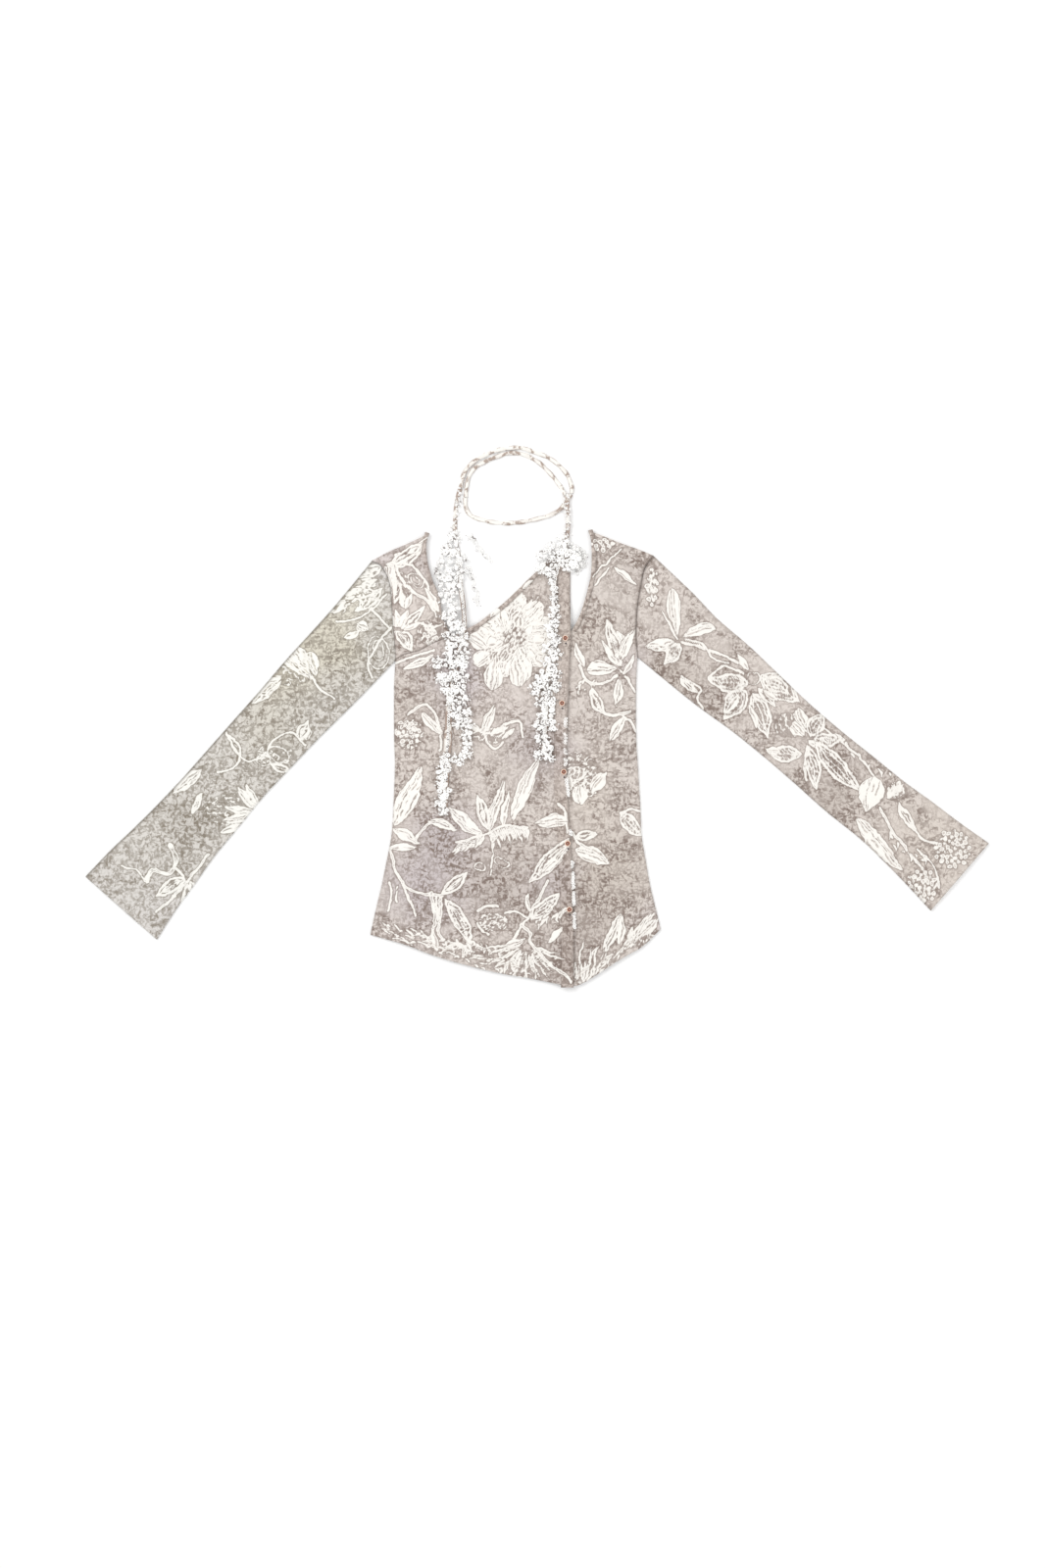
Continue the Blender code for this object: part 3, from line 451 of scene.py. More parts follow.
        ("curls", 232, 826, 22, 16, 9),
        ("leaf", 262, 826, 242, 802, 5, 1),
        ("leaf", 260, 828, 228, 824, 4, 1),
        ("leaf", 256, 832, 226, 838, 5, 0),
        ("leaf", 250, 842, 224, 850, 4, -1),
        ("leaf", 264, 822, 250, 800, 3, 0),
        ("open", 196, 830, 206, 808, 4, 0),
        ("stem", 1.7, (174, 862), (180, 880), (172, 892), (156, 888), (150, 898)),
        ("stem", 1.0, (180, 886), (188, 896), (192, 912)),
        ("open", 190, 896, 158, 916, 7, -1),
        ("open", 196, 898, 180, 946, 7, 2),
        ("leaf", 196, 898, 200, 922, 5, 0),
        ("stem", 1.0, (212, 872), (198, 890), (186, 906), (160, 930)),
        ("stem", 0.7, (150, 900), (140, 888), (124, 884)),
    ],
    "sleeve_right": [
        ("berries", 665, 598, 6, 19, 20),
        ("petal", 692, 650, 687, 600, 7, 1.5),
        ("stem", 0.8, (675, 624), (684, 640), (692, 652)),
        ("petal", 694, 650, 730, 641, 6, 3),
        ("leaf", 690, 655, 657, 661, 6.5, 0),
        ("open", 694, 656, 677, 679, 8, 1),
        ("stem", 1.0, (696, 655), (716, 661), (738, 668), (760, 680)),
        ("stem", 0.8, (700, 652), (718, 658), (728, 672), (744, 676)),
        ("stem", 0.8, (694, 690), (706, 697), (715, 702), (712, 712), (718, 724)),
        ("open", 712, 706, 692, 692, 4, 1),
        ("open", 774, 690, 816, 716, 14, 2),
        ("open", 776, 694, 806, 708, 8, 2),
        ("open", 764, 697, 721, 693, 10, 2),
        ("open", 762, 704, 738, 734, 11, -1),
        ("leaf", 754, 708, 738, 730, 3.2, 1),
        ("open", 768, 706, 783, 754, 10, 1),
        ("leaf", 764, 720, 772, 744, 3, 1),
        ("open", 772, 702, 792, 722, 5, 1),
        ("leaf", 778, 704, 794, 716, 2.6, 0),
        ("oval", 768, 692, 6, 6, 0),
        ("leaf", 764, 684, 752, 668, 3.5, 0),
        ("stem", 0.9, (722, 692), (732, 682), (742, 680), (758, 688)),
        ("curls", 806, 740, 16, 13, 9),
        ("petal", 820, 752, 808, 738, 8, 0),
        ("petal", 824, 750, 814, 722, 6, 0),
        ("open", 825, 752, 840, 728, 9, 1),
        ("open", 818, 770, 780, 765, 9, 2),
        ("leaf", 796, 766, 780, 765, 4.5, 0),
        ("open", 824, 760, 833, 806, 8, 1),
        ("stem", 0.8, (826, 762), (820, 780), (822, 796)),
        ("open", 830, 754, 862, 754, 7, -1),
        ("leaf", 824, 756, 852, 768, 4, 0),
        ("open", 832, 757, 879, 808, 10, -2),
        ("stem", 0.8, (840, 742), (862, 760), (880, 776), (892, 794)),
        ("petal", 883, 830, 892, 793, 13.5, 0),
        ("leaf", 905, 814, 922, 800, 4, 0),
        ("curls", 914, 808, 10, 9, 8),
        ("leaf", 872, 834, 921, 889, 8.5, -1),
        ("open", 916, 818, 936, 852, 4.5, -1),
        ("stem", 1.0, (898, 824), (908, 846), (924, 866), (942, 890)),
        ("stem", 0.8, (930, 846), (944, 858), (960, 860)),
        ("dabs", 10, 10, -60, 30, (906, 846), (920, 866), (938, 876)),
        ("berries", 972, 866, 18, 20, 44),
        ("berries", 940, 904, 17, 17, 38),
        ("stem", 0.8, (936, 866), (952, 884), (958, 906)),
        ("dabs", 9, 9, -50, 40, (850, 744), (880, 774), (910, 796)),
    ],
}

# Painted shade and light on the ground, partly its own uneven tone, by pixels of the photograph: x, y,
# reach, how much darker, and the tint, which is lilac above 0 and golden below
GROUND_SHADING_SPOTS = [
    (312, 648, 40, 0.1, -1.0), (352, 609, 30, -0.6, -0.9), (344, 664, 26, 0.3, -0.7),
    (281, 680, 34, 0.0, -0.9), (273, 742, 34, 0.3, -0.4), (191, 840, 26, 0.9, 0.0),
    (258, 820, 30, -0.1, 0.0), (164, 937, 40, -0.2, 0.3), (94, 906, 34, 0.1, 0.2),
    (398, 570, 26, -0.3, 0.7), (434, 582, 16, 0.3, 0.3), (415, 605, 26, -0.6, 0.1),
    (422, 711, 26, 0.4, -0.2), (461, 690, 34, 0.1, 1.0), (434, 906, 44, 0.4, 1.0), (453, 851, 26, 0.7, 0.8),
    (508, 906, 36, 1.0, 0.1), (492, 840, 22, -0.3, 0.3), (555, 766, 30, 0.7, 0.7), (559, 985, 30, 0.9, 0.2),
    (601, 812, 26, -0.2, -0.3), (617, 892, 44, 0.6, -0.3), (680, 945, 26, -0.3, 0.5),
    (600, 945, 26, 0.9, 0.0), (594, 648, 26, 0.2, -0.2), (594, 594, 26, -0.3, 0.0),
    (650, 590, 18, 0.5, 0.1), (687, 594, 22, -0.4, 0.0), (680, 685, 26, 1.0, -0.2),
    (719, 711, 24, 0.7, 0.0), (648, 680, 22, -0.3, 0.5), (848, 812, 26, 1.0, -0.1),
    (805, 711, 34, -0.4, 0.0), (867, 766, 24, 0.5, 0.0), (960, 865, 60, -0.4, -0.3),
    (520, 715, 26, -0.9, 0.2), (600, 765, 24, -0.5, -0.1), (565, 900, 24, 0.3, 0.7),
]


def smooth_step(value):
    """0 up to 0, 1 from 1 on, and an S curve between."""
    value = np.clip(value, 0.0, 1.0)
    return value * value * (3 - 2 * value)


def evenly(points, count):
    """The line through the points, as count points spaced evenly along it."""
    points = np.asarray(points, float)
    steps = np.linalg.norm(np.diff(points, axis=0), axis=1)
    along = np.concatenate([[0.0], np.cumsum(steps)])
    wanted = np.linspace(0.0, along[-1], count)
    return np.stack([np.interp(wanted, along, column) for column in points.T], axis=1)


def smooth_line(points, count):
    """A Catmull-Rom curve through the points, as count points spaced evenly along it."""
    points = np.asarray(points, float)
    padded = np.vstack([2 * points[0] - points[1], points, 2 * points[-1] - points[-2]])
    share = np.linspace(0.0, 1.0, 16, endpoint=False)[:, None]
    runs = []
    for a, b, c, d in zip(padded, padded[1:], padded[2:], padded[3:]):
        runs.append(0.5 * (2 * b + (c - a) * share + (2 * a - 5 * b + 4 * c - d) * share**2
                           + (3 * b - a - 3 * c + d) * share**3))
    return evenly(np.vstack([*runs, points[-1:]]), count)


def joined(*lines):
    """Lines end to end, with a shared end point kept once."""
    return np.vstack([lines[0], *[line[1:] for line in lines[1:]]])


def beside(line, distance):
    """A plan line moved sideways, to the left of its direction for a positive distance."""
    ahead = np.gradient(line[:, :2], axis=0)
    ahead /= np.linalg.norm(ahead, axis=1, keepdims=True)
    return line[:, :2] + distance * np.stack([-ahead[:, 1], ahead[:, 0]], axis=1)


def armhole(side, count=ARMHOLE_STEPS):
    """From the shoulder point down to the underarm."""
    return smooth_line([SHOULDER[side], *ARMHOLE[side], UNDERARM[side]], count)


def side_seam(side, count):
    """From the hem corner up to the underarm."""
    return smooth_line([HEM_CORNER[side], *SIDE_SEAM[side][::-1], UNDERARM[side]], count)


def shoulder(side, count):
    """From the shoulder point to the neck point."""
    return smooth_line([SHOULDER[side], *SHOULDER_LINE[side], NECK_POINT[side]], count)


def hem(side, count):
    """From the hem corner to the hem's point."""
    return smooth_line([HEM_CORNER[side], *HEM[side], HEM_POINT], count)


def buttoned_edge(count):
    """From the hem's point up to where the side front's neckline starts."""
    return smooth_line([LAP_START, *BUTTONED_EDGE, HEM_POINT][::-1], count)


def upper_edge(count):
    """From there up to the top corner of the large front."""
    return smooth_line([LAP_START, *UPPER_EDGE, TOP_CORNER], count)


def slanted_neck(count):
    """From the V at the yoke up to the top corner."""
    return smooth_line([NECK_V, *SLANTED_NECK, TOP_CORNER], count)


def yoke_seam(count):
    """From the left underarm up to the V."""
    return smooth_line([UNDERARM["left"], *YOKE_SEAM, NECK_V], count)


def left_neck(count):
    """From the V up to the left neck point."""
    return smooth_line([NECK_V, *LEFT_NECK, NECK_POINT["left"]], count)


def right_neck(count):
    """From the buttoned edge up to the right neck point."""
    return smooth_line([LAP_START, *RIGHT_NECK, NECK_POINT["right"]], count)


def patch(low, high, start, end):
    """A Coons patch in plan. low and high run across at the two ends, start and end run from low to high."""
    across = np.linspace(0.0, 1.0, len(low))[None, :, None]
    up = np.linspace(0.0, 1.0, len(start))[:, None, None]
    ruled = (1 - up) * low[None] + up * high[None] + (1 - across) * start[:, None] + across * end[:, None]
    corners = ((1 - up) * ((1 - across) * low[0] + across * low[-1])
               + up * ((1 - across) * high[0] + across * high[-1]))
    return ruled - corners


def folds(x, y, rows):
    """The height of soft ridges: a bell across each fold and a longer bell along it."""
    height = np.zeros_like(x)
    for middle_x, middle_y, heading, half_length, half_width, rise in rows:
        cos, sin = math.cos(math.radians(heading)), math.sin(math.radians(heading))
        along = ((x - middle_x) * cos + (y - middle_y) * sin) / half_length
        across = ((y - middle_y) * cos - (x - middle_x) * sin) / half_width
        height += rise * np.exp(-along**2 - across**2)
    return height


def drift(x, y, size, seed=0.0):
    """Smooth waviness from -1 to 1, about size across: five sines, each turned and bent by the one before."""
    bend = np.zeros_like(x)
    for turn in range(5):
        angle = 1.3 + 2.4 * turn + seed
        reach = 2 * math.pi / (size * (1.0 + 0.23 * turn))
        phase = 1.7 * turn + seed * 5 + 1.4 * bend
        bend = np.sin((x * math.cos(angle) + y * math.sin(angle)) * reach + phase)
    return bend


def side_distance(x, y):
    """How far a point lies inside the side seams and armholes, in plan."""
    inside = []
    for side, sign in (("left", 1.0), ("right", -1.0)):
        line = np.vstack([side_seam(side, 30), armhole(side)[::-1]])
        order = np.argsort(line[:, 1])
        inside.append(sign * (x - np.interp(y, line[order, 1], line[order, 0])))
    return np.minimum(*inside)


def edge_x(y):
    """The buttoned edge's x at a height."""
    line = joined(buttoned_edge(60), upper_edge(40))
    return np.interp(y, line[:, 1], line[:, 0])


def side_front_under(x, y):
    """The underside of the pieces that lie straight on the back: a soft loft inside the edges, and folds."""
    share = smooth_step(side_distance(x, y) / LOFT_RUN)
    fine = folds(x, y, FINE_CREASES) + 0.14 * drift(x, y, 44.0)
    return FRONT_UNDER + share * (LOFT + folds(x, y, FRONT_FOLDS) + fine)


def main_front_under(x, y):
    """As the side front, but lifted over its lap, and let down to the ground above the back's neckline."""
    lifted = smooth_step(1 - (edge_x(y) - UNDERLAP - x) / LAP_RUN) * (LAP_UNDER - FRONT_UNDER)
    dropped = smooth_step((y - DROP_START) / DROP_RUN)
    return (side_front_under(x, y) + lifted) * (1 - dropped)


def main_front_plan():
    """The large front: hem, left side seam, yoke seam and slanted neck, and the buttoned edge."""
    return patch(
        low=hem("left", 168),
        high=joined(yoke_seam(50), slanted_neck(119)),
        start=side_seam("left", 350),
        end=joined(buttoned_edge(280), upper_edge(71)),
    )


def side_front_plan():
    """The narrow right front, whose edge runs on under the buttoned edge."""
    lap = buttoned_edge(24) - (UNDERLAP, 0.0)
    lap[0] += (0.0, HEM_TURNED_BACK)
    hem_line = [lap[0], np.array(HEM_POINT) + (0.0, HEM_TURNED_BACK / 3), *HEM["right"][::-1],
                HEM_CORNER["right"]]
    return patch(
        low=smooth_line(hem_line, 84),
        high=shoulder("right", 84)[::-1],
        start=joined(evenly(joined(lap, [lap[-1], LAP_START]), 281), right_neck(90)),
        end=joined(side_seam("right", 270), armhole("right", 101)[::-1]),
    )


def yoke_plan():
    """The left shoulder piece, between the shoulder line and the slanted seam across the chest."""
    seam = beside(yoke_seam(56), SEAM_GAP)
    neck = left_neck(96)
    arm = armhole("left", 96)[::-1]
    neck[0] = seam[-1]
    arm[0] = seam[0]
    return patch(low=seam, high=shoulder("left", 56), start=arm, end=neck)


def back_plans():
    """The back as three patches that share borders: below the scooped neck, and beside it on either side."""
    neck = smooth_line([NECK_POINT["left"], *BACK_NECK, NECK_POINT["right"]], 400)
    turns = [int(np.argmin(np.linalg.norm(neck - BACK_NECK[at], axis=1))) for at in (3, 9)]
    left_part, scoop, right_part = neck[:turns[0] + 1], neck[turns[0]:turns[1] + 1], neck[turns[1]:]
    left_step = evenly([UNDERARM["left"], scoop[0]], 27)
    right_step = evenly([scoop[-1], UNDERARM["right"]], 31)
    bottom = patch(
        low=evenly([HEM_CORNER["left"], HEM_CORNER["right"]], 27 + 90 + 29),
        high=joined(left_step, evenly(scoop, 90), right_step),
        start=side_seam("left", 131),
        end=side_seam("right", 131),
    )
    left = patch(low=left_step, high=shoulder("left", 27), start=armhole("left", 50)[::-1],
                 end=evenly(left_part[::-1], 50))
    right = patch(low=right_step, high=shoulder("right", 31)[::-1], start=evenly(right_part, 50),
                  end=armhole("right", 50)[::-1])
    return bottom, left, right


def sleeve_plan(side, rows, columns):
    """A sleeve in plan, from the armhole to the cuff and from its upper fold to its lower one."""
    start, end = (np.array(point) for point in SLEEVE_ENDS[side])
    run = end - start
    above = np.array([-run[1], run[0]]) / np.linalg.norm(run)
    above *= math.copysign(1.0, above[1])
    upper = [start + share * run + above * half for share, half in SLEEVE_UPPER[side]]
    lower = [start + share * run - above * half for share, half in SLEEVE_LOWER[side]]
    seam = beside(armhole(side), -SEAM_GAP if side == "left" else SEAM_GAP)
    return patch(
        low=evenly(seam, columns),
        high=evenly([upper[-1], lower[-1]], columns),
        start=smooth_line([seam[0], *upper], rows),
        end=smooth_line([seam[-1], *lower], rows),
    )


def sleeve_height(across, along):
    """The upper skin over the ground: two layers at the folds, a soft rise between them, and creases."""
    rise = np.sin(math.pi * np.clip(across, 0, 1)) ** SLEEVE_FULLNESS
    creases = sum(
        high * np.exp(-(((along - place - lean * (across - 0.5)) / width) ** 2))
        for place, lean, width, high in SLEEVE_CREASES + FINE_SLEEVE_CREASES
    )
    return 2 * CLOTH + LAY_GAP + rise * smooth_step(along / SLEEVE_SEAM_RUN) * (SLEEVE_LOFT + creases)


# The print


def photo_place(x, y):
    """A pixel of the photograph as x and y in plan."""
    return (x - PRINT_MIDDLE[0]) * PRINT_PIXEL, (PRINT_MIDDLE[1] - y) * PRINT_PIXEL


class Print:
    """The printed pattern over a grid. Ink is how far outside the print a point is, and less than 0 in it,
    and grain is how far it is from the middle line of its leaf or petal."""

    def __init__(self, x, y):
        self.x = x + 1.1 * drift(x, y, 34.0) + 0.5 * drift(x, y, 11.0, 2.0)
        self.y = y + 1.1 * drift(x, y, 34.0, 1.0) + 0.5 * drift(x, y, 11.0, 3.0)
        self.ink = np.full(x.shape, 40.0)
        self.grain = np.full(x.shape, 0.0)

    def near(self, xs, ys, margin):
        """The points in the box round some points."""
        return ((self.x > min(xs) - margin) & (self.x < max(xs) + margin)
                & (self.y > min(ys) - margin) & (self.y < max(ys) + margin))

    def lay(self, where, edge, pattern, grain, gap=PRINT_GAP):
        """The new shape over what is there: cleared out to a gap round its edge, then its own pattern."""
        self.ink[where] = np.minimum(np.maximum(self.ink[where], gap - edge), np.maximum(pattern, edge))
        self.grain[where] = np.where(edge < gap, grain, self.grain[where])

    def blade(self, x0, y0, x1, y1, half, bend, blunt=False, hollow=False):
        """A leaf: a middle line that bows by bend, and a half width that follows a sine from base to tip.
        A petal's is widest near its tip. A hollow one is only its outline, middle line and side veins."""
        (x0, y0), (x1, y1) = photo_place(x0, y0), photo_place(x1, y1)
        half, bend = half * PRINT_PIXEL, bend * PRINT_PIXEL
        length = math.hypot(x1 - x0, y1 - y0)
        where = self.near((x0, x1), (y0, y1), half + abs(bend) + 12)
        x, y = self.x[where] - x0, self.y[where] - y0
        along = (x * (x1 - x0) + y * (y1 - y0)) / length**2
        share = np.clip(along, 0.0, 1.0)
        across = (y * (x1 - x0) - x * (y1 - y0)) / length - bend * 4 * share * (1 - share)
        width = half * np.sin(math.pi * share ** (1.5 if blunt else 0.85)) ** (0.65 if blunt else 0.95)
        edge = np.maximum(np.abs(across) - width, np.maximum(-along, along - 1) * length)
        if hollow:
            slant = along * length - 0.9 * np.abs(across)
            vein = np.abs(slant / 6.0 - np.round(slant / 6.0)) * 6.0 - 0.5
            uneven = 0.35 * np.sin(along * length / 4.0 + x0)
            pattern = np.minimum(np.abs(edge + 1.7) - 1.7 + uneven, np.abs(across) - 0.9)
            if half > 7.0:
                pattern = np.minimum(pattern, np.abs(edge + 6.4) - 0.9 + uneven)
            if half > 10.5:
                pattern = np.minimum(pattern, vein)
        else:
            pattern = np.maximum(edge, 0.6 - np.abs(across - 0.3 * width)) if half > 6.0 else edge
        self.lay(where, edge, pattern, across)

    def stroke(self, points, half, gap=0.0):
        """A line of one width through some points, thinner towards its end."""
        line = smooth_line([photo_place(*point) for point in points], 3 + 4 * len(points))
        where = self.near(line[:, 0], line[:, 1], 8)
        x, y = self.x[where][:, None], self.y[where][:, None]
        start, step = line[:-1], np.diff(line, axis=0)
        share = np.clip(((x - start[:, 0]) * step[:, 0] + (y - start[:, 1]) * step[:, 1])
                        / (step**2).sum(axis=1), 0.0, 1.0)
        away = np.hypot(x - start[:, 0] - share * step[:, 0], y - start[:, 1] - share * step[:, 1])
        edge = away.min(axis=1) - half * PRINT_PIXEL
        self.lay(where, edge, edge, edge, gap)

    def dot(self, x, y, radius, ring=0.0):
        """A round spot, or a ring where ring gives its width."""
        x, y = photo_place(x, y)
        where = self.near((x,), (y,), radius + 4)
        edge = np.hypot(self.x[where] - x, self.y[where] - y) - radius
        pattern = np.abs(edge + ring / 2) - ring / 2 if ring else edge
        self.lay(where, edge, pattern, edge)

    def draw(self, kind, *row):
        """One row of the print's table."""
        getattr(self, "draw_" + kind)(*row)

    def draw_leaf(self, *row):
        self.blade(*row)

    def draw_open(self, *row):
        self.blade(*row, hollow=True)

    def draw_petal(self, *row):
        self.blade(*row, blunt=True)

    def draw_stem(self, half, *points):
        self.stroke(points, half * 1.3)

    def draw_berries(self, x, y, wide, high, count):
        """Spots, every third a ring, spread evenly over an oval by the golden angle."""
        for number in range(count):
            reach, turn = math.sqrt((number + 0.5) / count), number * GOLDEN_ANGLE
            self.dot(x + wide * reach * math.cos(turn), y + high * reach * math.sin(turn),
                     2.4 + 0.5 * (number % 3), 0.0 if number % 3 else 1.6)

    def draw_oval(self, x, y, wide, high, lean):
        """An outline: an oval turned by lean."""
        turn = np.linspace(0.0, 2 * math.pi, 13)
        cos, sin = math.cos(math.radians(lean)), math.sin(math.radians(lean))
        across, up = wide * np.cos(turn), high * np.sin(turn)
        self.stroke(np.column_stack([x + across * cos - up * sin, y + across * sin + up * cos]), 0.55)

    def draw_curls(self, x, y, wide, high, size):
        """Squiggles in an oval: the lines along which a waviness about size across is nought."""
        (x, y), wide, high = photo_place(x, y), wide * PRINT_PIXEL, high * PRINT_PIXEL
        where = self.near((x - wide, x + wide), (y - high, y + high), 2.0)
        across, up = self.x[where], self.y[where]
        line = np.abs(drift(across, up, size * PRINT_PIXEL, 0.1 * x)) * size * 0.22 - 0.75
        outside = (np.hypot((across - x) / wide, (up - y) / high) - 1) * min(wide, high)
        edge = np.maximum(line, outside)
        self.lay(where, edge, edge, edge * 2, 0.0)

    def draw_dabs(self, count, length, heading, spread, *points):
        """Short strokes beside a line: each one's place, heading and length go by sines of its number."""
        for number, (x, y) in enumerate(smooth_line(points, count)):
            turn = math.radians(heading + spread * math.sin(4.1 * number))
            long = length * (0.8 + 0.4 * math.sin(2.3 * number))
            x, y = x + 4.0 * math.sin(5.7 * number), y + 4.0 * math.cos(3.9 * number)
            self.blade(x, y, x + long * math.cos(turn), y - long * math.sin(turn), 1.05, 1.6)

    def draw_burst(self, x, y, first, last, count, inner, outer):
        """Strokes that spread from a middle, long and short in turn."""
        for number, heading in enumerate(np.radians(np.linspace(first, last, count))):
            reach = outer * (1.0, 0.7, 0.86, 0.6)[number % 4]
            cos, sin = math.cos(heading), -math.sin(heading)
            self.blade(x + inner * cos, y + inner * sin, x + reach * cos, y + reach * sin,
                       1.1, 3.0 * math.sin(1.7 * number))

    def draw_fringe(self, count, reach, *points):
        """Strokes that hang from a stem."""
        line = smooth_line(points, count)
        for number, (x, y) in enumerate(line):
            long = (1.0, 0.7, 1.2, 0.55, 0.9)[number % 5]
            self.blade(x, y, x + reach[0] * long, y + reach[1] * long, 1.4, 1.5)

    def draw_rose(self, x, y, radius):
        """A loose flower of curled outlines: ovals that lean out round a smaller pair."""
        for number in range(9):
            heading, reach = 2.2 * number, radius * (0.72, 0.6, 0.34)[number % 3]
            self.draw_oval(x + reach * math.cos(heading), y + 0.8 * reach * math.sin(heading),
                           radius * 0.42, radius * (0.2, 0.3)[number % 2], math.degrees(heading) + 50)

    def draw_bloom(self, x, y, radius):
        """A full round flower: rounds of blunt petals, the outer one laid first and in the inner rounds every
        fourth petal only an outline, and a broken heart of rings and squiggles."""
        rounds = ((11, 1.0, 0.23), (10, 0.84, 0.2), (9, 0.66, 0.17), (8, 0.48, 0.12))
        for ring, (count, reach, wide) in enumerate(rounds):
            for number in range(count):
                heading = 2 * math.pi * (number + 0.37 * ring) / count + 0.2
                cos, sin = math.cos(heading), math.sin(heading)
                long = reach * (1.0, 0.92, 1.06)[number % 3]
                self.blade(x + 0.14 * radius * cos, y + 0.14 * radius * sin, x + long * radius * cos,
                           y + long * radius * sin, radius * wide, 0.6, blunt=True,
                           hollow=(number + ring) % 4 == 0 and ring > 0)
        self.dot(x, y, 0.26 * radius * PRINT_PIXEL, 0.1)
        self.draw_curls(x, y, 0.3 * radius, 0.3 * radius, 7)
        for number in range(20):
            turn = number * GOLDEN_ANGLE
            reach = radius * 0.27 * math.sqrt(number / 19)
            self.dot(x + reach * math.cos(turn), y + reach * math.sin(turn), 2.4, 0.0 if number % 3 else 1.3)


def printed(x, y, rows):
    """The print's ink and grain over a grid."""
    made = Print(x, y)
    for row in rows:
        made.draw(*row)
    return np.clip(made.ink, -6.0, 6.0), np.clip(made.grain, -12.0, 12.0)


def edge_shade(plan, seams):
    """Painted shade, a bell inwards from each seam of a grid: seams gives an edge, low, high, start or end,
    its weight.
    """
    shade = np.zeros(plan.shape[:2])
    lines = {"low": plan[:1], "high": plan[-1:], "start": plan[:, :1], "end": plan[:, -1:]}
    for side, weight in seams.items():
        away = np.linalg.norm(plan - lines[side], axis=2)
        shade = np.maximum(shade, weight * np.exp(-((away / SEAM_SHADE) ** 2)))
    return shade


def painted_ground_shading(x, y):
    """Painted shade and light on the ground: how much darker and how much more lilac it is, a bell round
    each place of the table.
    """
    dark, tint = np.zeros_like(x), np.zeros_like(x)
    x, y = x + 7 * drift(x, y, 60.0), y + 7 * drift(x, y, 60.0, 1.0)
    for place_x, place_y, reach, darker, lilac in GROUND_SHADING_SPOTS:
        place_x, place_y = photo_place(place_x, place_y)
        bell = np.exp(-((x - place_x) ** 2 + (y - place_y) ** 2) / (reach * PRINT_PIXEL) ** 2)
        dark += darker * bell
        tint += lilac * bell
    return np.clip(dark, -1.0, 1.0), np.clip(tint, -1.0, 1.0)


# Meshes


def new_piece(name, points, faces, finish, print_values=None, replaces=(), on=None):
    """Points in millimetres and arrays of quads or triangles, as a piece that rides on the root body.
    print_values holds ink, grain and seam shade for each point, and on names the cloth that it is sewn to."""
    points = np.asarray(points, float).reshape(-1, 3)
    # Painted shade and light on the ground, kept as an attribute beside the print
    painted_shading = np.column_stack([*painted_ground_shading(points[:, 0], points[:, 1]), np.zeros(len(points))])
    points = (points - MIDDLE) * MM
    mesh = bpy.data.meshes.new(name)
    mesh.vertices.add(len(points))
    mesh.vertices.foreach_set("co", points.ravel())
    sizes = np.concatenate([np.full(len(face), face.shape[1]) for face in faces])
    corners = np.concatenate([face.ravel() for face in faces])
    mesh.loops.add(len(corners))
    mesh.loops.foreach_set("vertex_index", corners.astype(np.int32))
    mesh.polygons.add(len(sizes))
    mesh.polygons.foreach_set("loop_start", (np.cumsum(sizes) - sizes).astype(np.int32))
    mesh.update(calc_edges=True)
    if mesh.validate():
        raise RuntimeError(f"{name}: the mesh had faults")
    mesh.shade_smooth()
    if print_values is not None:
        values = mesh.attributes.new("print", "FLOAT_VECTOR", "POINT")
        values.data.foreach_set("vector", np.asarray(print_values, float).reshape(-1, 3).ravel())
        shading_attribute = mesh.attributes.new("painted_shading", "FLOAT_VECTOR", "POINT")
        shading_attribute.data.foreach_set("vector", painted_shading.ravel())
    mesh.materials.append(finish)
    piece = bpy.data.objects.new(name, mesh)
    bpy.context.scene.collection.objects.link(piece)
    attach(piece, "root")
    if replaces:
        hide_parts(*replaces)
    if on:
        piece.parent = bpy.data.objects[on]
    return piece


def grid_faces(rows, columns, round_rows=False, round_columns=False, start=0):
    """The quads of a grid, which may close on itself, facing up where columns run to the left of rows."""
    index = np.arange(rows * columns).reshape(rows, columns) + start
    if round_rows:
        index = np.vstack([index, index[:1]])
    if round_columns:
        index = np.hstack([index, index[:, :1]])
    return np.stack([index[:-1, :-1], index[:-1, 1:], index[1:, 1:], index[1:, :-1]], axis=-1).reshape(-1, 4)


def welded(grids):
    """Plan grids that share border points, as one list of points and their quads."""
    points = np.vstack([grid.reshape(-1, 2) for grid in grids])
    starts = np.cumsum([0] + [grid.shape[0] * grid.shape[1] for grid in grids])
    quads = np.vstack([grid_faces(*grid.shape[:2], start=start) for grid, start in zip(grids, starts)])
    _, first, place = np.unique(np.round(points, 3), axis=0, return_index=True, return_inverse=True)
    return points[first], place.reshape(-1)[quads]


def thick(plan, quads, low, high):
    """A closed sheet between two heights: the quads above, turned over below, and a rim on each open edge."""
    count = len(plan)
    edges = np.stack([quads, np.roll(quads, -1, axis=1)], axis=-1).reshape(-1, 2)
    there = edges[:, 0] * count + edges[:, 1]
    back = edges[:, 1] * count + edges[:, 0]
    rim = edges[~np.isin(there, back)]
    sides = np.stack([rim[:, 1], rim[:, 0], rim[:, 0] + count, rim[:, 1] + count], axis=1)
    points = np.vstack([np.column_stack([plan, np.full(count, height)]) for height in (high, low)])
    return points, [quads, quads[:, ::-1] + count, sides]


ROLL_OUT = np.array([-5.0, -0.3, 0.25, 0.2])
ROLL_DOWN = np.array([1.0, 1.0, 0.62, 0.22])


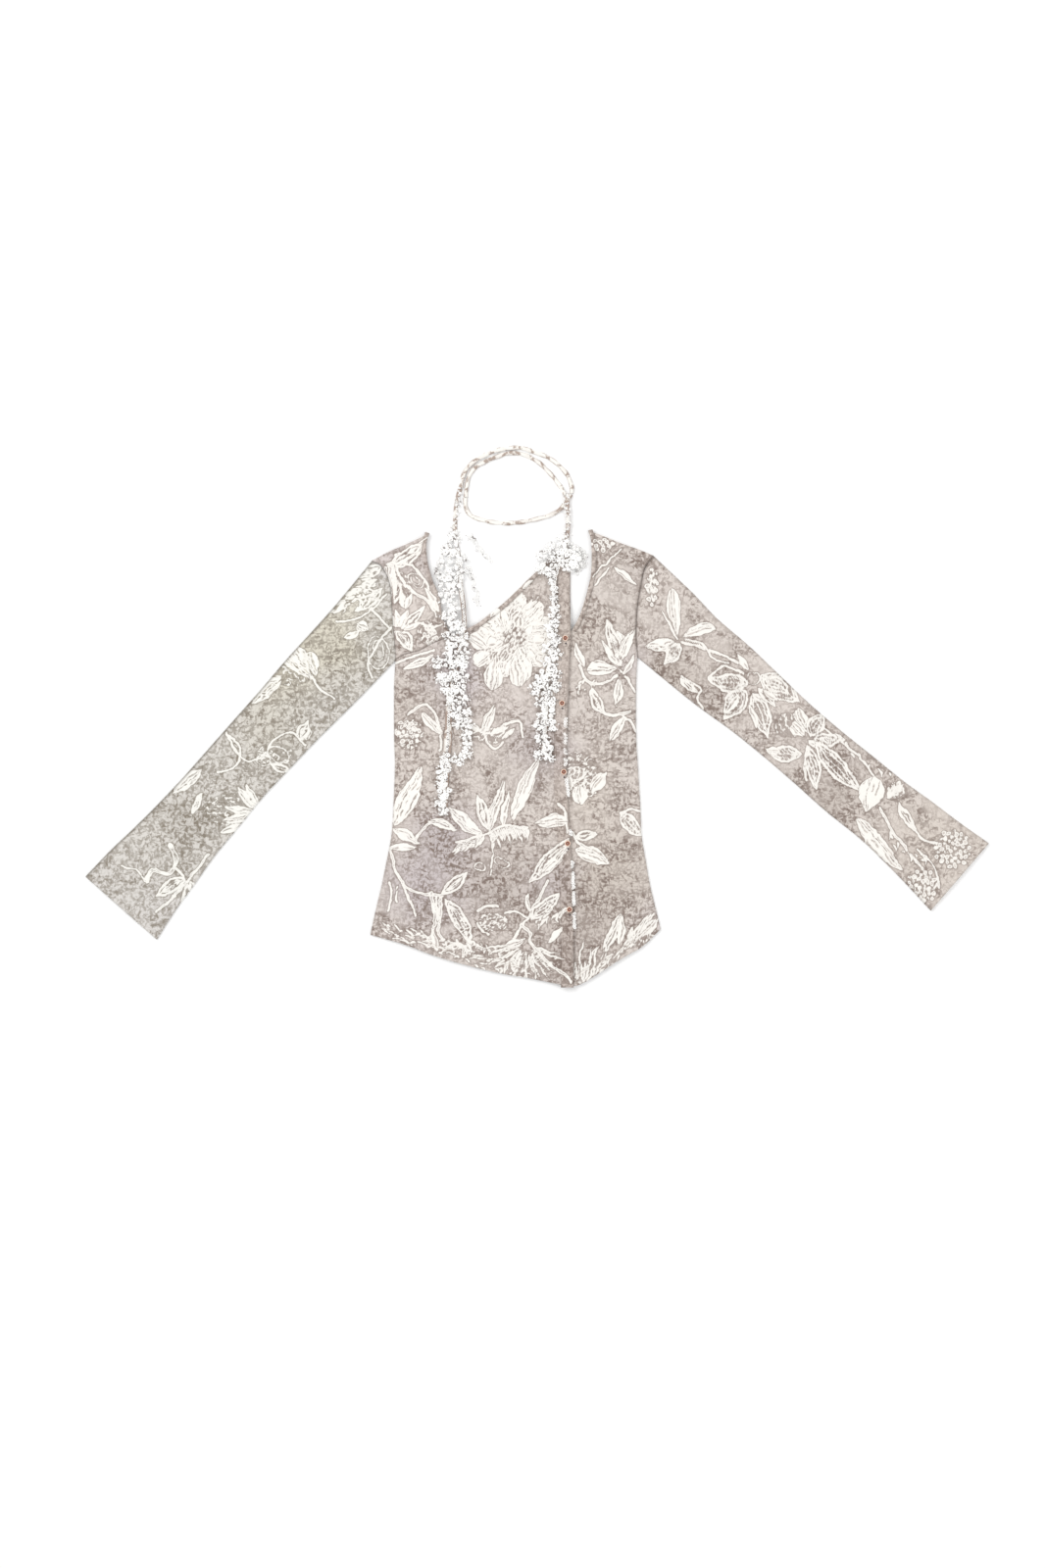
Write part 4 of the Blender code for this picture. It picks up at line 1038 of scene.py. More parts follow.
def rolled(plan, top, thickness, turn=1.0):
    """A grid of x, y and top heights with a rounded edge all round: each row of the roll is moved out from
    the edge, let down by a share of the thickness, and at last turned back under."""
    rows, columns = plan.shape[:2]
    ring = len(ROLL_OUT)
    out_rows = np.zeros((rows, columns, 2))
    out_columns = np.zeros((rows, columns, 2))
    for edge, inner, store, first in ((0, 1, out_rows, True), (-1, -2, out_rows, True),
                                      (0, 1, out_columns, False), (-1, -2, out_columns, False)):
        step = plan[edge] - plan[inner] if first else plan[:, edge] - plan[:, inner]
        step = step / np.maximum(np.linalg.norm(step, axis=-1, keepdims=True), 1e-6)
        if first:
            store[edge] = step
        else:
            store[:, edge] = step
    pad = ((ring, ring), (ring, ring), (0, 0))
    plan, out_rows, out_columns = (np.pad(part, pad, mode="edge") for part in (plan, out_rows, out_columns))
    top = np.pad(top, ring, mode="edge")
    roll = np.where(np.arange(ring) == 0, ROLL_OUT * turn, ROLL_OUT)
    out_r = np.concatenate([roll, np.zeros(rows), roll[::-1]])[:, None, None]
    out_c = np.concatenate([roll, np.zeros(columns), roll[::-1]])[None, :, None]
    down_r = np.concatenate([ROLL_DOWN, np.zeros(rows), ROLL_DOWN[::-1]])[:, None]
    down_c = np.concatenate([ROLL_DOWN, np.zeros(columns), ROLL_DOWN[::-1]])[None, :]
    plan = plan + out_rows * out_r + out_columns * out_c
    return np.dstack([plan, top - thickness * np.maximum(down_r, down_c)])


def with_roll(field):
    """A field of a grid carried on over its rolled edge."""
    return np.pad(field, len(ROLL_OUT), mode="edge")


def plan_area(plan):
    """The area of a plan grid in square metres: half the cross product of each cell's diagonals."""
    one, two = plan[1:, 1:] - plan[:-1, :-1], plan[1:, :-1] - plan[:-1, 1:]
    return float(np.abs(one[..., 0] * two[..., 1] - one[..., 1] * two[..., 0]).sum() / 2) * MM * MM


def cloth_panel(name, plan, top, finish, rows, seams, replaces):
    """A panel of printed cloth: a rolled grid with its print."""
    points = rolled(plan, top, CLOTH)
    ink, grain = printed(plan[..., 0], plan[..., 1], rows)
    values = np.dstack([with_roll(ink), with_roll(grain), with_roll(edge_shade(plan, seams))])
    return new_piece(name, points, [grid_faces(*points.shape[:2])], finish, values, replaces)


def declare_laid(grids):
    """The area of a flat panel's plan grids, worked out and not used."""
    sum(map(plan_area, grids))


# Finishes


class Value:
    """A shader socket that can stand in a sum: each operator adds its Math node."""

    def __init__(self, finish, socket):
        self.finish, self.socket = finish, socket

    def _math(self, operation, *values):
        return self.finish.node("Math", {"operation": operation}, dict(enumerate(values)))

    def __add__(self, other):
        return self._math("ADD", self, other)

    def __sub__(self, other):
        return self._math("SUBTRACT", self, other)

    def __rsub__(self, other):
        return self._math("SUBTRACT", other, self)

    def __mul__(self, other):
        return self._math("MULTIPLY", self, other)

    def __abs__(self):
        return self._math("ABSOLUTE", self)

    def sine(self):
        return self._math("SINE", self)

    def least(self, other):
        return self._math("MINIMUM", self, other)

    def most(self, other):
        return self._math("MAXIMUM", self, other)

    def between(self, low, high):
        """0 at low, 1 at high, and an S curve between."""
        return self.finish.node("MapRange", {"interpolation_type": "SMOOTHSTEP"},
                                {"Value": self, "From Min": low, "From Max": high})

    __radd__ = __add__
    __rmul__ = __mul__


class Finish:
    """A material while its nodes are put together."""

    def __init__(self, name):
        self.material = bpy.data.materials.new(name)
        self.material.use_nodes = True
        self.tree = self.material.node_tree
        self.tree.nodes.clear()

    def node(self, kind, settings=None, inputs=None, output=0):
        """Add a node, give it its settings and then its sockets' values or links, and return one output."""
        made = self.tree.nodes.new("ShaderNode" + kind)
        for name, value in (settings or {}).items():
            setattr(made, name, value)
        for name, value in (inputs or {}).items():
            if isinstance(value, Value):
                self.tree.links.new(value.socket, made.inputs[name])
            else:
                made.inputs[name].default_value = value
        return Value(self, made.outputs[output])

    def place(self):
        """Where a point is on the object, in metres."""
        return self.node("TexCoord", output=3)

    def split(self, name):
        """The three parts of one of the piece's own attributes."""
        values = self.node("Attribute", {"attribute_name": name}, output=1)
        return [self.node("SeparateXYZ", {}, {"Vector": values}, output=axis) for axis in range(3)]

    def noise(self, place, size, detail=2.0, roughness=0.5, distortion=0.0, stretch=(1.0, 1.0, 1.0)):
        """Soft noise about size millimetres across, from 0 to 1."""
        if stretch != (1.0, 1.0, 1.0):
            place = self.node("Mapping", {}, {"Vector": place, "Scale": stretch})
        return self.node("TexNoise", {}, {"Vector": place, "Scale": 1000.0 / size, "Detail": detail,
                                          "Roughness": roughness, "Distortion": distortion})

    def blend(self, share, one, other):
        """A colour that goes from one to the other."""
        return self.node("Mix", {"data_type": "RGBA"}, {0: share, 6: one, 7: other}, output=2)

    def bump(self, height, depth, strength=1.0, under=None):
        """A normal that follows a height of depth millimetres."""
        sockets = {"Height": height, "Distance": depth * MM, "Strength": strength}
        if under is not None:
            sockets["Normal"] = under
        return self.node("Bump", {}, sockets)

    def surface(self, colour, roughness, normal=None, **fixed):
        """The Principled surface. fixed holds sockets that are the same all over."""
        sockets = {"Base Color": colour, "Roughness": roughness, **fixed}
        if normal is not None:
            sockets["Normal"] = normal
        shader = self.node("BsdfPrincipled", {}, sockets)
        self.node_output(shader)
        return self.material

    def node_output(self, shader):
        """Link a shader to the material's output."""
        made = self.tree.nodes.new("ShaderNodeOutputMaterial")
        self.tree.links.new(shader.socket, made.inputs["Surface"])


def times(colour, red, green, blue):
    """A colour with each part multiplied."""
    return (colour[0] * red, colour[1] * green, colour[2] * blue, 1.0)


def linear(red, green, blue):
    """A colour as a screen shows it, 0 to 255, in the renderer's linear light."""
    return tuple(float(((value / 255 + 0.055) / 1.055) ** 2.4) for value in (red, green, blue)) + (1.0,)


def knit(finish, place, normal=None):
    """A jersey knit: fine wales along y crossed by courses, about a millimetre apart."""
    split = [finish.node("SeparateXYZ", {}, {"Vector": place}, output=axis) for axis in (0, 1)]
    wales = (split[0] * (2 * math.pi / (0.9 * MM))).sine()
    courses = (split[1] * (2 * math.pi / (0.7 * MM)) + wales * 0.9).sine()
    return finish.bump(wales + courses * 0.6, 0.05, 0.5, normal)


def printed_jersey(name, light, dark, cream, even=0.0, dash=7.5):
    """Burnt-out jersey: a sheer ground with darker pebbles, worm-like marks and dashes about dash mm long,
    and smoother patches, fewer where even is higher; and a cream print with rough edges and streaks."""
    finish = Finish(name)
    place = finish.place()
    ink, grain, seam = finish.split("print")
    darker, tint, _ = finish.split("painted_shading")
    # The ground: lines where a noise crosses its middle and short dashes both ways, weaker in smooth patches
    crawl = finish.noise(place, 12.0, 2.0, 0.5, 0.8)
    worms = 1.0 - abs(crawl - 0.5).between(0.02, 0.08)
    fine = finish.noise(place, 4.8, 2.0, 0.5)
    across = finish.noise(place, dash, 1.0, 0.5, 0.7, (0.6, 1.5, 1.0)).between(0.52, 0.6)
    upright = finish.noise(place, dash, 1.0, 0.5, 0.7, (1.5, 0.6, 1.0)).between(0.54, 0.61)
    pebble = finish.noise(place, 5.2, 1.0, 0.5, 0.4).between(0.45, 0.66)
    patches = finish.noise(place, 48.0, 2.0, 0.6, 0.8).between(0.38, 0.58) * (1.0 - even) + even
    broken = (worms * 0.8).most(across).most(upright) * fine.between(0.34, 0.52)
    # The marks grow stronger where the painted shade is darker
    marks = (broken * (patches * 0.55 + darker * 0.45 + 0.4)).most(0.0) + pebble * (patches * 0.24 + 0.1)
    speck = finish.noise(place, 2.6, 2.0, 0.6).between(0.56, 0.68) * (patches * 0.6 + 0.4)
    # Painted shade and light over the ground: lilac and golden tints, lighter patches and darker ones
    ground = finish.blend(tint.most(0.0) * 0.8, light, times(light, 0.9, 0.9, 1.0))
    ground = finish.blend((0.0 - tint).most(0.0) * 0.8, ground, times(light, 1.02, 1.0, 0.88))
    ground = finish.blend((0.0 - darker).most(0.0) * 0.5, ground, times(light, 1.16, 1.16, 1.17))
    ground = finish.blend(darker.most(0.0) * 0.24, ground, dark)
    ground = finish.blend((marks * 0.76).least(1.0), ground, dark)
    ground = finish.blend(speck * 0.14, ground, dark)
    # The print: its edge is frayed by noise with a dark line beside it, and streaks follow each leaf's middle
    frayed = ink + (fine - 0.5) * 1.3
    inside = 1.0 - frayed.between(-0.35, 0.35)
    beside_print = (1.0 - frayed.between(0.5, 2.2)) * (1.0 - inside)
    ground = finish.blend(beside_print * 0.6, ground, dark)
    wander = finish.noise(place, 16.0, 1.0)
    streaks = (grain * 0.88 + wander * 5.0).sine().between(0.3, 0.75) * wander.between(0.4, 0.48)
    streaks = streaks * (0.0 - frayed).between(0.9, 1.9)
    edge_tint = frayed.between(-1.6, -0.3) * 0.1
    worn = finish.noise(place, 26.0, 3.0, 0.6).between(0.56, 0.76)
    cover = inside * (1.0 - streaks * 0.85) * (1.0 - edge_tint) * (1.0 - worn * 0.22)
    colour = finish.blend(cover, ground, cream)
    # Painted shade along the seams and folds, from the third part of the print attribute
    colour = finish.blend(seam * 0.75, colour, times(dark, 0.6, 0.6, 0.6))
    raised = finish.bump(cover + crawl * 0.6, 0.12, 0.4)
    return finish.surface(colour, 0.85 - cover * 0.12, knit(finish, place, raised),
                          **{"Sheen Weight": 0.15, "Sheen Roughness": 0.5, "Specular IOR Level": 0.25})


def strand_cloth(name, light, dark, brown, share):
    """The scarf's narrow tube: off-white, with brown flecks that wind with the twist, and a brown line down
    each side of the tube as seen from above."""
    finish = Finish(name)
    place = finish.place()
    wind, side, _ = finish.split("print")
    loose = finish.noise(place, 11.0, 3.0, 0.65, 0.6)
    flecks = (wind * 0.07 + loose).between(0.56 - share, 0.68 - share)
    soft = finish.noise(place, 15.0, 2.0).between(0.4, 0.65)
    line = abs(side).between(0.6, 0.92) * finish.noise(place, 26.0, 2.0).between(0.38, 0.52)
    colour = finish.blend(soft * 0.3, light, dark)
    colour = finish.blend(flecks * 0.8, colour, brown)
    colour = finish.blend(line * 0.6, colour, brown)
    raised = finish.bump(finish.noise(place, 1.6, 2.0), 0.25, 0.6)
    return finish.surface(colour, 0.85, knit(finish, place, raised),
                          **{"Sheen Weight": 0.15, "Specular IOR Level": 0.25})


def crochet(name, white, shade, gap_shade_specks=0.0):
    """White cotton thread: a fine twist, painted grey shade laid by noise between the loops, and dark
    specks of painted shade for the gaps where the cloth under it shows through."""
    finish = Finish(name)
    place = finish.place()
    soft = finish.noise(place, 6.0, 2.0).between(0.35, 0.75)
    twist = finish.noise(place, 0.9, 2.0, 0.6, 0.0, (1.0, 1.0, 0.3))
    # Painted shade: a grey laid by noise for the grey between the loops
    colour = finish.blend(soft * 0.3, white, shade)
    if gap_shade_specks:
        # Painted shade: dark specks for the shaded gaps between the stitches
        spot = finish.noise(place, 4.4, 2.0, 0.55, 0.4).between(0.57, 0.63)
        spot = spot * finish.noise(place, 30.0).between(0.4, 0.5)
        colour = finish.blend(spot * gap_shade_specks, colour, linear(104, 90, 86))
    return finish.surface(colour, 0.8, finish.bump(twist, 0.2, 0.7), **{"Specular IOR Level": 0.3})


def horn(name, core, rim):
    """An amber button: a dark dish with cloudy streaks, and a paler rim by the distance from its middle."""
    finish = Finish(name)
    place = finish.place()
    reach = finish.split("print")[0]
    cloud = finish.noise(place, 2.4, 3.0, 0.6, 1.2)
    inner = finish.blend(cloud.between(0.35, 0.7) * 0.5, core, times(core, 0.45, 0.45, 0.45))
    colour = finish.blend(reach.between(0.66, 0.82), inner, rim)
    return finish.surface(colour, 0.3 + cloud * 0.15, finish.bump(cloud, 0.08, 0.4), **{"Coat Weight": 0.4})


def floor_paper(name, colour):
    """A plain pale floor with a faint tooth."""
    finish = Finish(name)
    tooth = finish.noise(finish.place(), 3.0, 2.0)
    return finish.surface(colour, 0.9, finish.bump(tooth, 0.05, 0.2), **{"Specular IOR Level": 0.1})


# The stage, in metres and watts: each lamp's name, place, size and power
FLOOR_HALF = 7.0
FLOOR_GAP = 0.0002
LAMPS = (("key", (-2.2, 1.8, 2.6), 2.2, 58.0), ("fill", (2.6, -1.4, 3.0), 3.0, 28.0))
WORLD_LIGHT = 0.84
CAMERA_OVER = (-0.0214, -0.0967)
CAMERA_LENS = 85.0
CAMERA_SENSOR = 36.0

FINISHES = {}


def finish_for(name):
    """The finish of a name, made once from the user's colours."""
    look = bpy.context.scene.laid_top_colours
    made = {
        "jersey": lambda: printed_jersey("printed_jersey", look.ground, look.marks, look.print),
        "jersey_left_sleeve": lambda: printed_jersey("printed_jersey_left_sleeve", look.sleeve_ground,
                                                     look.sleeve_marks, look.sleeve_print, 0.75, 9.0),
        "band": lambda: printed_jersey("printed_band", look.band_ground, look.marks, look.print, 0.4),
        "scarf": lambda: strand_cloth("scarf_cloth", look.scarf, look.ground, look.scarf_flecks, 0.05),
        "scarf_tail": lambda: strand_cloth("scarf_tail_cloth", look.scarf, look.ground, look.scarf_flecks,
                                           0.16),
        "lace": lambda: crochet("crochet_cotton", look.lace, look.lace_shade, 0.8),
        "picot": lambda: crochet("picot_cotton", look.lace, look.lace, 0.3),
        "button": lambda: horn("amber_horn", look.button, look.button_rim),
        "thread": lambda: crochet("sewing_thread", look.band_ground, look.marks),
        "buttonhole": lambda: crochet("buttonhole_shade", look.buttonhole, look.buttonhole),
        "floor": lambda: floor_paper("floor", look.floor),
    }
    if name not in FINISHES:
        FINISHES[name] = made[name]()
    return FINISHES[name]


def colour_property(name, description, value):
    """A colour of the panel, given as a screen shows it."""
    return bpy.props.FloatVectorProperty(name=name, description=description, default=linear(*value), size=4,
                                         min=0.0, max=1.0, subtype="COLOR")


class LaidTopColours(bpy.types.PropertyGroup):
    """The colours of the top and of what it lies on."""

    ground: colour_property("Ground", "Lighter colour of the sheer jersey", (212, 203, 196))
    marks: colour_property("Marks", "Darker worm-like marks of the jersey", (130, 115, 107))
    print: colour_property("Print", "Cream of the leaves and flowers", (243, 240, 234))
    # The left sleeve's cooler, duller colours: partly painted light, partly the sleeve's own colour
    sleeve_ground: colour_property("Left sleeve ground", "Its cooler ground", (212, 208, 202))
    sleeve_marks: colour_property("Left sleeve marks", "Its cooler marks", (134, 125, 113))
    sleeve_print: colour_property("Left sleeve print", "Its duller cream", (240, 238, 232))
    band_ground: colour_property("Band ground", "Ground of the bindings and the button band", (203, 192, 184))
    scarf: colour_property("Scarf", "Off-white of the neck scarf", (243, 240, 234))
    scarf_flecks: colour_property("Scarf flecks", "Brown flecks of the neck scarf", (150, 126, 112))
    lace: colour_property("Lace", "White of the crochet", (253, 252, 250))
    # Painted shade: the grey laid between the lace's loops
    lace_shade: colour_property("Lace shade", "Grey between its loops", (228, 225, 222))
    button: colour_property("Button", "Amber of the buttons", (142, 68, 28))
    # Painted shade: the dark of the ring at each buttonhole's end
    buttonhole: colour_property("Buttonhole thread", "Dark thread at each buttonhole's end", (84, 78, 80))
    button_rim: colour_property("Button rim", "Pale rim of the buttons", (238, 214, 196))
    floor: colour_property("Floor", "What the top lies on", (250, 250, 250))


class LaidTopSizes(bpy.types.PropertyGroup):
    """The sizes that a user would change."""

    thread: bpy.props.FloatProperty(
        name="Thread", description="Width of a stitch's thread", default=0.0005, unit="LENGTH", min=0.0002,
        max=0.002)
    stitch: bpy.props.FloatProperty(
        name="Stitch", description="Length of a stitch", default=0.0026, unit="LENGTH", min=0.001, max=0.006)
    hem_depth: bpy.props.FloatProperty(
        name="Hem depth", description="From the hem's edge to its stitching", default=0.012, unit="LENGTH",
        min=0.004, max=0.04)
    camera_height: bpy.props.FloatProperty(
        name="Camera height", description="Height of the camera over the floor", default=5.29, unit="LENGTH",
        min=1.0, max=20.0)


# Small repeated pieces


def stitches(name, line, height, on):
    """Stitches along a plan line: each a short spindle of five sides along the line, lying on a height."""
    sizes = bpy.context.scene.laid_top_sizes
    pitch, thread = sizes.stitch / MM, sizes.thread / MM
    length = float(np.linalg.norm(np.diff(line, axis=0), axis=1).sum())
    middle = evenly(line, max(int(length / pitch), 3))
    ahead = np.gradient(middle, axis=0)
    ahead /= np.linalg.norm(ahead, axis=1, keepdims=True)
    across = np.stack([-ahead[:, 1], ahead[:, 0]], axis=1)
    turn = np.arange(5) * 2 * math.pi / 5
    reach = np.array([-0.42, -0.3, 0.3, 0.42]) * pitch
    size = np.array([0.25, 0.5, 0.5, 0.25]) * thread
    plan = (middle[:, None, None] + ahead[:, None, None] * reach[None, :, None, None]
            + across[:, None, None] * (size[:, None] * np.cos(turn))[None, :, :, None])
    z = height(plan[..., 0], plan[..., 1]) + (size[:, None] * (np.sin(turn) + 0.4))[None]
    points = np.concatenate([plan, z[..., None]], axis=-1)
    one = grid_faces(4, 5, round_columns=True)
    faces = (one[None] + (np.arange(len(middle)) * 20)[:, None, None]).reshape(-1, 4)
    new_piece(name, points, [faces], finish_for("thread"), on=on)


def rings(centres, radii, tube, squash, sides=(10, 5), stretch=0.0, heading=0.0, tilt=0.0):
    """Small closed rings of thread: a flattened circle carried round a circle of each centre's radius, drawn
    out by stretch along its heading and tilted across it. Gives all their points and faces."""
    centres, radii, tube = (np.asarray(part, float) for part in (centres, radii, tube))
    shapes = (np.broadcast_to(part, radii.shape)[:, None, None] for part in (stretch, heading, tilt))
    stretch, heading, tilt = shapes
    round_count, tube_count = sides
    turn = np.arange(round_count) * 2 * math.pi / round_count
    roll = np.arange(tube_count) * 2 * math.pi / tube_count
    reach = radii[:, None, None] + tube[:, None, None] * np.cos(roll)
    along = reach * np.cos(turn)[:, None] * (1 + stretch)
    across = reach * np.sin(turn)[:, None] * (1 - stretch)
    x = centres[:, 0, None, None] + along * np.cos(heading) - across * np.sin(heading)
    y = centres[:, 1, None, None] + along * np.sin(heading) + across * np.cos(heading)
    z = centres[:, 2, None, None] + squash * tube[:, None, None] * np.sin(roll) + tilt * across
    points = np.stack([x, y, z], axis=-1)
    one = grid_faces(round_count, tube_count, True, True)[:, ::-1]
    faces = (one[None] + (np.arange(len(centres)) * round_count * tube_count)[:, None, None]).reshape(-1, 4)
    return points.reshape(-1, 3), faces


def tube_along(line, half_width, half_height, sides, twist=0.0, ridge=0.0):
    """A flattened tube: an oval with a winding ridge, carried along a line of x, y and middle height."""
    ahead = np.gradient(line[:, :2], axis=0)
    ahead /= np.linalg.norm(ahead, axis=1, keepdims=True)
    across = np.stack([-ahead[:, 1], ahead[:, 0]], axis=1)
    length = np.concatenate([[0.0], np.cumsum(np.linalg.norm(np.diff(line, axis=0), axis=1))])
    turn = np.arange(sides) * 2 * math.pi / sides
    swell = 1.0 + ridge * np.cos(2 * turn[None] - twist * length[:, None])
    side = np.asarray(half_width).reshape(-1, 1) * np.cos(turn) * swell
    plan = line[:, None, :2] + across[:, None] * side[..., None]
    z = line[:, None, 2] + np.asarray(half_height).reshape(-1, 1) * np.sin(turn) * swell
    return np.dstack([plan, z])


def tube_faces(rows, sides):
    """The sides of a tube and a fan of triangles on each end, round two more points."""
    skin = grid_faces(rows, sides, round_columns=True)[:, ::-1]
    index = np.arange(sides)
    after = np.roll(index, -1)
    first = np.stack([index, after, np.full(sides, rows * sides)], axis=1)
    last = np.stack([after, index, np.full(sides, rows * sides + 1)], axis=1)
    last[:, :2] += (rows - 1) * sides
    return [skin, first, last]


# Operators


class LAIDTOP_OT_stage(bpy.types.Operator):
    """The floor, the soft lights and the camera straight above."""

    bl_idname = "laid_top.stage"
    bl_label = "Floor, lights and camera"

    def execute(self, context):
        scene = context.scene
        mesh = bpy.data.meshes.new("floor")
        square = ((-1, -1), (1, -1), (1, 1), (-1, 1))
        corners = [(x * FLOOR_HALF, y * FLOOR_HALF, -FLOOR_GAP) for x, y in square]
        mesh.from_pydata(corners, [], [(0, 1, 2, 3)])
        mesh.materials.append(finish_for("floor"))
        floor = bpy.data.objects.new("floor", mesh)
        scene.collection.objects.link(floor)
        for name, place, size, power in LAMPS:
            light = bpy.data.lights.new(name, "AREA")
            light.size = size
            light.energy = power
            lamp = bpy.data.objects.new(name, light)
            lamp.location = place
            scene.collection.objects.link(lamp)
            aim = -np.array(place)
            lamp.rotation_euler = (math.acos(-aim[2] / np.linalg.norm(aim)), 0.0,
                                   math.atan2(aim[1], aim[0]) - math.pi / 2)
        world = bpy.data.worlds.new("studio")
        world.use_nodes = True
        world.node_tree.nodes["Background"].inputs["Color"].default_value = (1.0, 1.0, 1.0, 1.0)
        world.node_tree.nodes["Background"].inputs["Strength"].default_value = WORLD_LIGHT
        scene.world = world
        scene.view_settings.view_transform = "Standard"
        camera = bpy.data.cameras.new("camera")
        camera.lens = CAMERA_LENS
        camera.sensor_fit = "VERTICAL"
        camera.sensor_height = CAMERA_SENSOR
        holder = bpy.data.objects.new("camera", camera)
        holder.location = (*CAMERA_OVER, scene.laid_top_sizes.camera_height)
        scene.collection.objects.link(holder)
        scene.camera = holder
        return {"FINISHED"}


class LAIDTOP_OT_back(bpy.types.Operator):
    """The back, flat on the ground, with a deep scooped neck."""

    bl_idname = "laid_top.back"
    bl_label = "Back"

    def execute(self, context):
        plan, quads = welded(back_plans())
        x, y = plan.T
        ink, grain = printed(-x - BACK_PRINT_SHIFT, y, PRINT["front_main"] + PRINT["front_side"])
        points, faces = thick(plan, quads, 0.0, CLOTH)
        values = np.column_stack([ink, grain, np.zeros(len(x))])
        values = np.vstack([values, values])
        piece = new_piece("back_cloth", points, faces, finish_for("jersey"), values, ("back",))
        declare_laid(back_plans())
        return {"FINISHED"}


class LAIDTOP_OT_fronts(bpy.types.Operator):
    """The large front, the narrow right front and the left shoulder piece."""

    bl_idname = "laid_top.fronts"
    bl_label = "Fronts and shoulder piece"

    def execute(self, context):
        side_plan = side_front_plan()
        # Painted shade along each panel's seams; on the narrow front it is strong only up the armhole
        armhole_only = 0.25 + 0.75 * smooth_step((side_plan[..., 1] - UNDERARM["right"][1]) / 20.0)
        for name, plan, under, rows, seams, node, rests_on in (
            ("front_side_cloth", side_plan, side_front_under, "front_side", {"end": armhole_only},
             "front_side", ["back_cloth"]),
            ("front_main_cloth", main_front_plan(), main_front_under, "front_main", {"start": 0.25},
             "front_main", ["back_cloth", "front_side_cloth"]),
            ("yoke_left_cloth", yoke_plan(), side_front_under, "yoke", {"low": 1.0, "start": 0.5},
             "yoke_left", ["back_cloth"]),
        ):
            top = under(plan[..., 0], plan[..., 1]) + CLOTH
            piece = cloth_panel(name, plan, top, finish_for("jersey"), PRINT[rows], seams, (node,))
            declare_laid([plan])
        return {"FINISHED"}


class LAIDTOP_OT_sleeves(bpy.types.Operator):
    """Both sleeves: flattened tubes with rounded folds and turned cuffs."""

    bl_idname = "laid_top.sleeves"
    bl_label = "Sleeves"

    def execute(self, context):
        for side in ("left", "right"):
            make_sleeve(side)
        return {"FINISHED"}


def make_sleeve(side):
    """A flattened tube: each section runs over the upper skin, round a fold, back under and round the other.
    Heights come from sleeve_height above and 0 below, and a fold's points lie between the two."""
    rows, columns = SLEEVE_GRID
    plan = sleeve_plan(side, rows, columns)
    width = np.linalg.norm(plan[:, -1] - plan[:, 0], axis=1)[:, None]
    length = float(np.linalg.norm(np.diff(plan[:, columns // 2], axis=0), axis=1).sum())
    grid = np.linspace(0.0, 1.0, columns)[2:-2]
    along = np.linspace(0.0, 1.0, rows)[:, None]
    middle = np.tile(grid, (rows, 1))
    upper = np.hstack([FOLD_IN / width, middle, 1 - FOLD_IN[::-1] / width])
    lower = np.hstack([1 - FOLD_IN[1:] / width, middle[:, ::-1], FOLD_IN[:0:-1] / width])
    lift_up = np.concatenate([FOLD_UP, np.ones(len(grid)), FOLD_UP[::-1]])
    lift_low = np.concatenate([1 - FOLD_UP[1:], np.zeros(len(grid)), 1 - FOLD_UP[:0:-1]])
    share, lift = np.hstack([upper, lower]), np.concatenate([lift_up, lift_low])
    spot = share * (columns - 1)
    whole = np.clip(np.floor(spot).astype(int), 0, columns - 2)
    part = (spot - whole)[..., None]
    row = np.arange(rows)[:, None]
    flat = plan[row, whole] * (1 - part) + plan[row, whole + 1] * part
    z = sleeve_height(share, along) * lift
    outer = np.dstack([flat, z])
    centre = flat.mean(axis=1, keepdims=True)
    inner_plan = centre + (flat - centre) * (1 - 2 * CLOTH / width[..., None])
    inner_z = np.where(lift > 0.5, np.maximum(z - CLOTH, CLOTH + 0.1), np.maximum(z, CLOTH))
    inner = np.dstack([inner_plan, inner_z])
    turn_rows = [rows - 1 - int(rows * CUFF_TURN * step) for step in (0.0, 0.5, 1.0)]
    points = np.vstack([inner[:1], outer, inner[turn_rows]])
    count = len(upper[0])
    ink = np.full(share.shape, 6.0)
    grain = np.zeros(share.shape)
    motifs = PRINT["sleeve_" + side]
    ink[:, :count], grain[:, :count] = printed(flat[:, :count, 0], flat[:, :count, 1], motifs)
    backwards = slice(None, None, -1)
    ink[:, count:] = ink[:, 2:count][:, :share.shape[1] - count][:, backwards]
    grain[:, count:] = grain[:, 2:count][:, :share.shape[1] - count][:, backwards]
    # Painted shade along the armhole seam and along the upper and lower folds
    upper_fold, lower_fold = FOLD_SHADE[side]
    seam = SEAM_WEIGHT[side] * np.exp(-((along * length / SEAM_SHADE) ** 2))
    seam = seam + upper_fold * np.exp(-((share * width / FOLD_REACH) ** 2))
    seam = np.minimum(seam + lower_fold * np.exp(-(((1 - share) * width / FOLD_REACH) ** 2)), 1.0)
    values = np.dstack([ink, grain, seam])
    values = np.vstack([values[:1], values, values[turn_rows]])
    faces = grid_faces(*points.shape[:2], round_columns=True)
    faces = faces if side == "right" else faces[:, ::-1]
    finish = finish_for("jersey_left_sleeve" if side == "left" else "jersey")
    piece = new_piece(f"sleeve_{side}_cloth", points, [faces], finish, values, (f"sleeve_{side}",))
    2 * plan_area(plan)


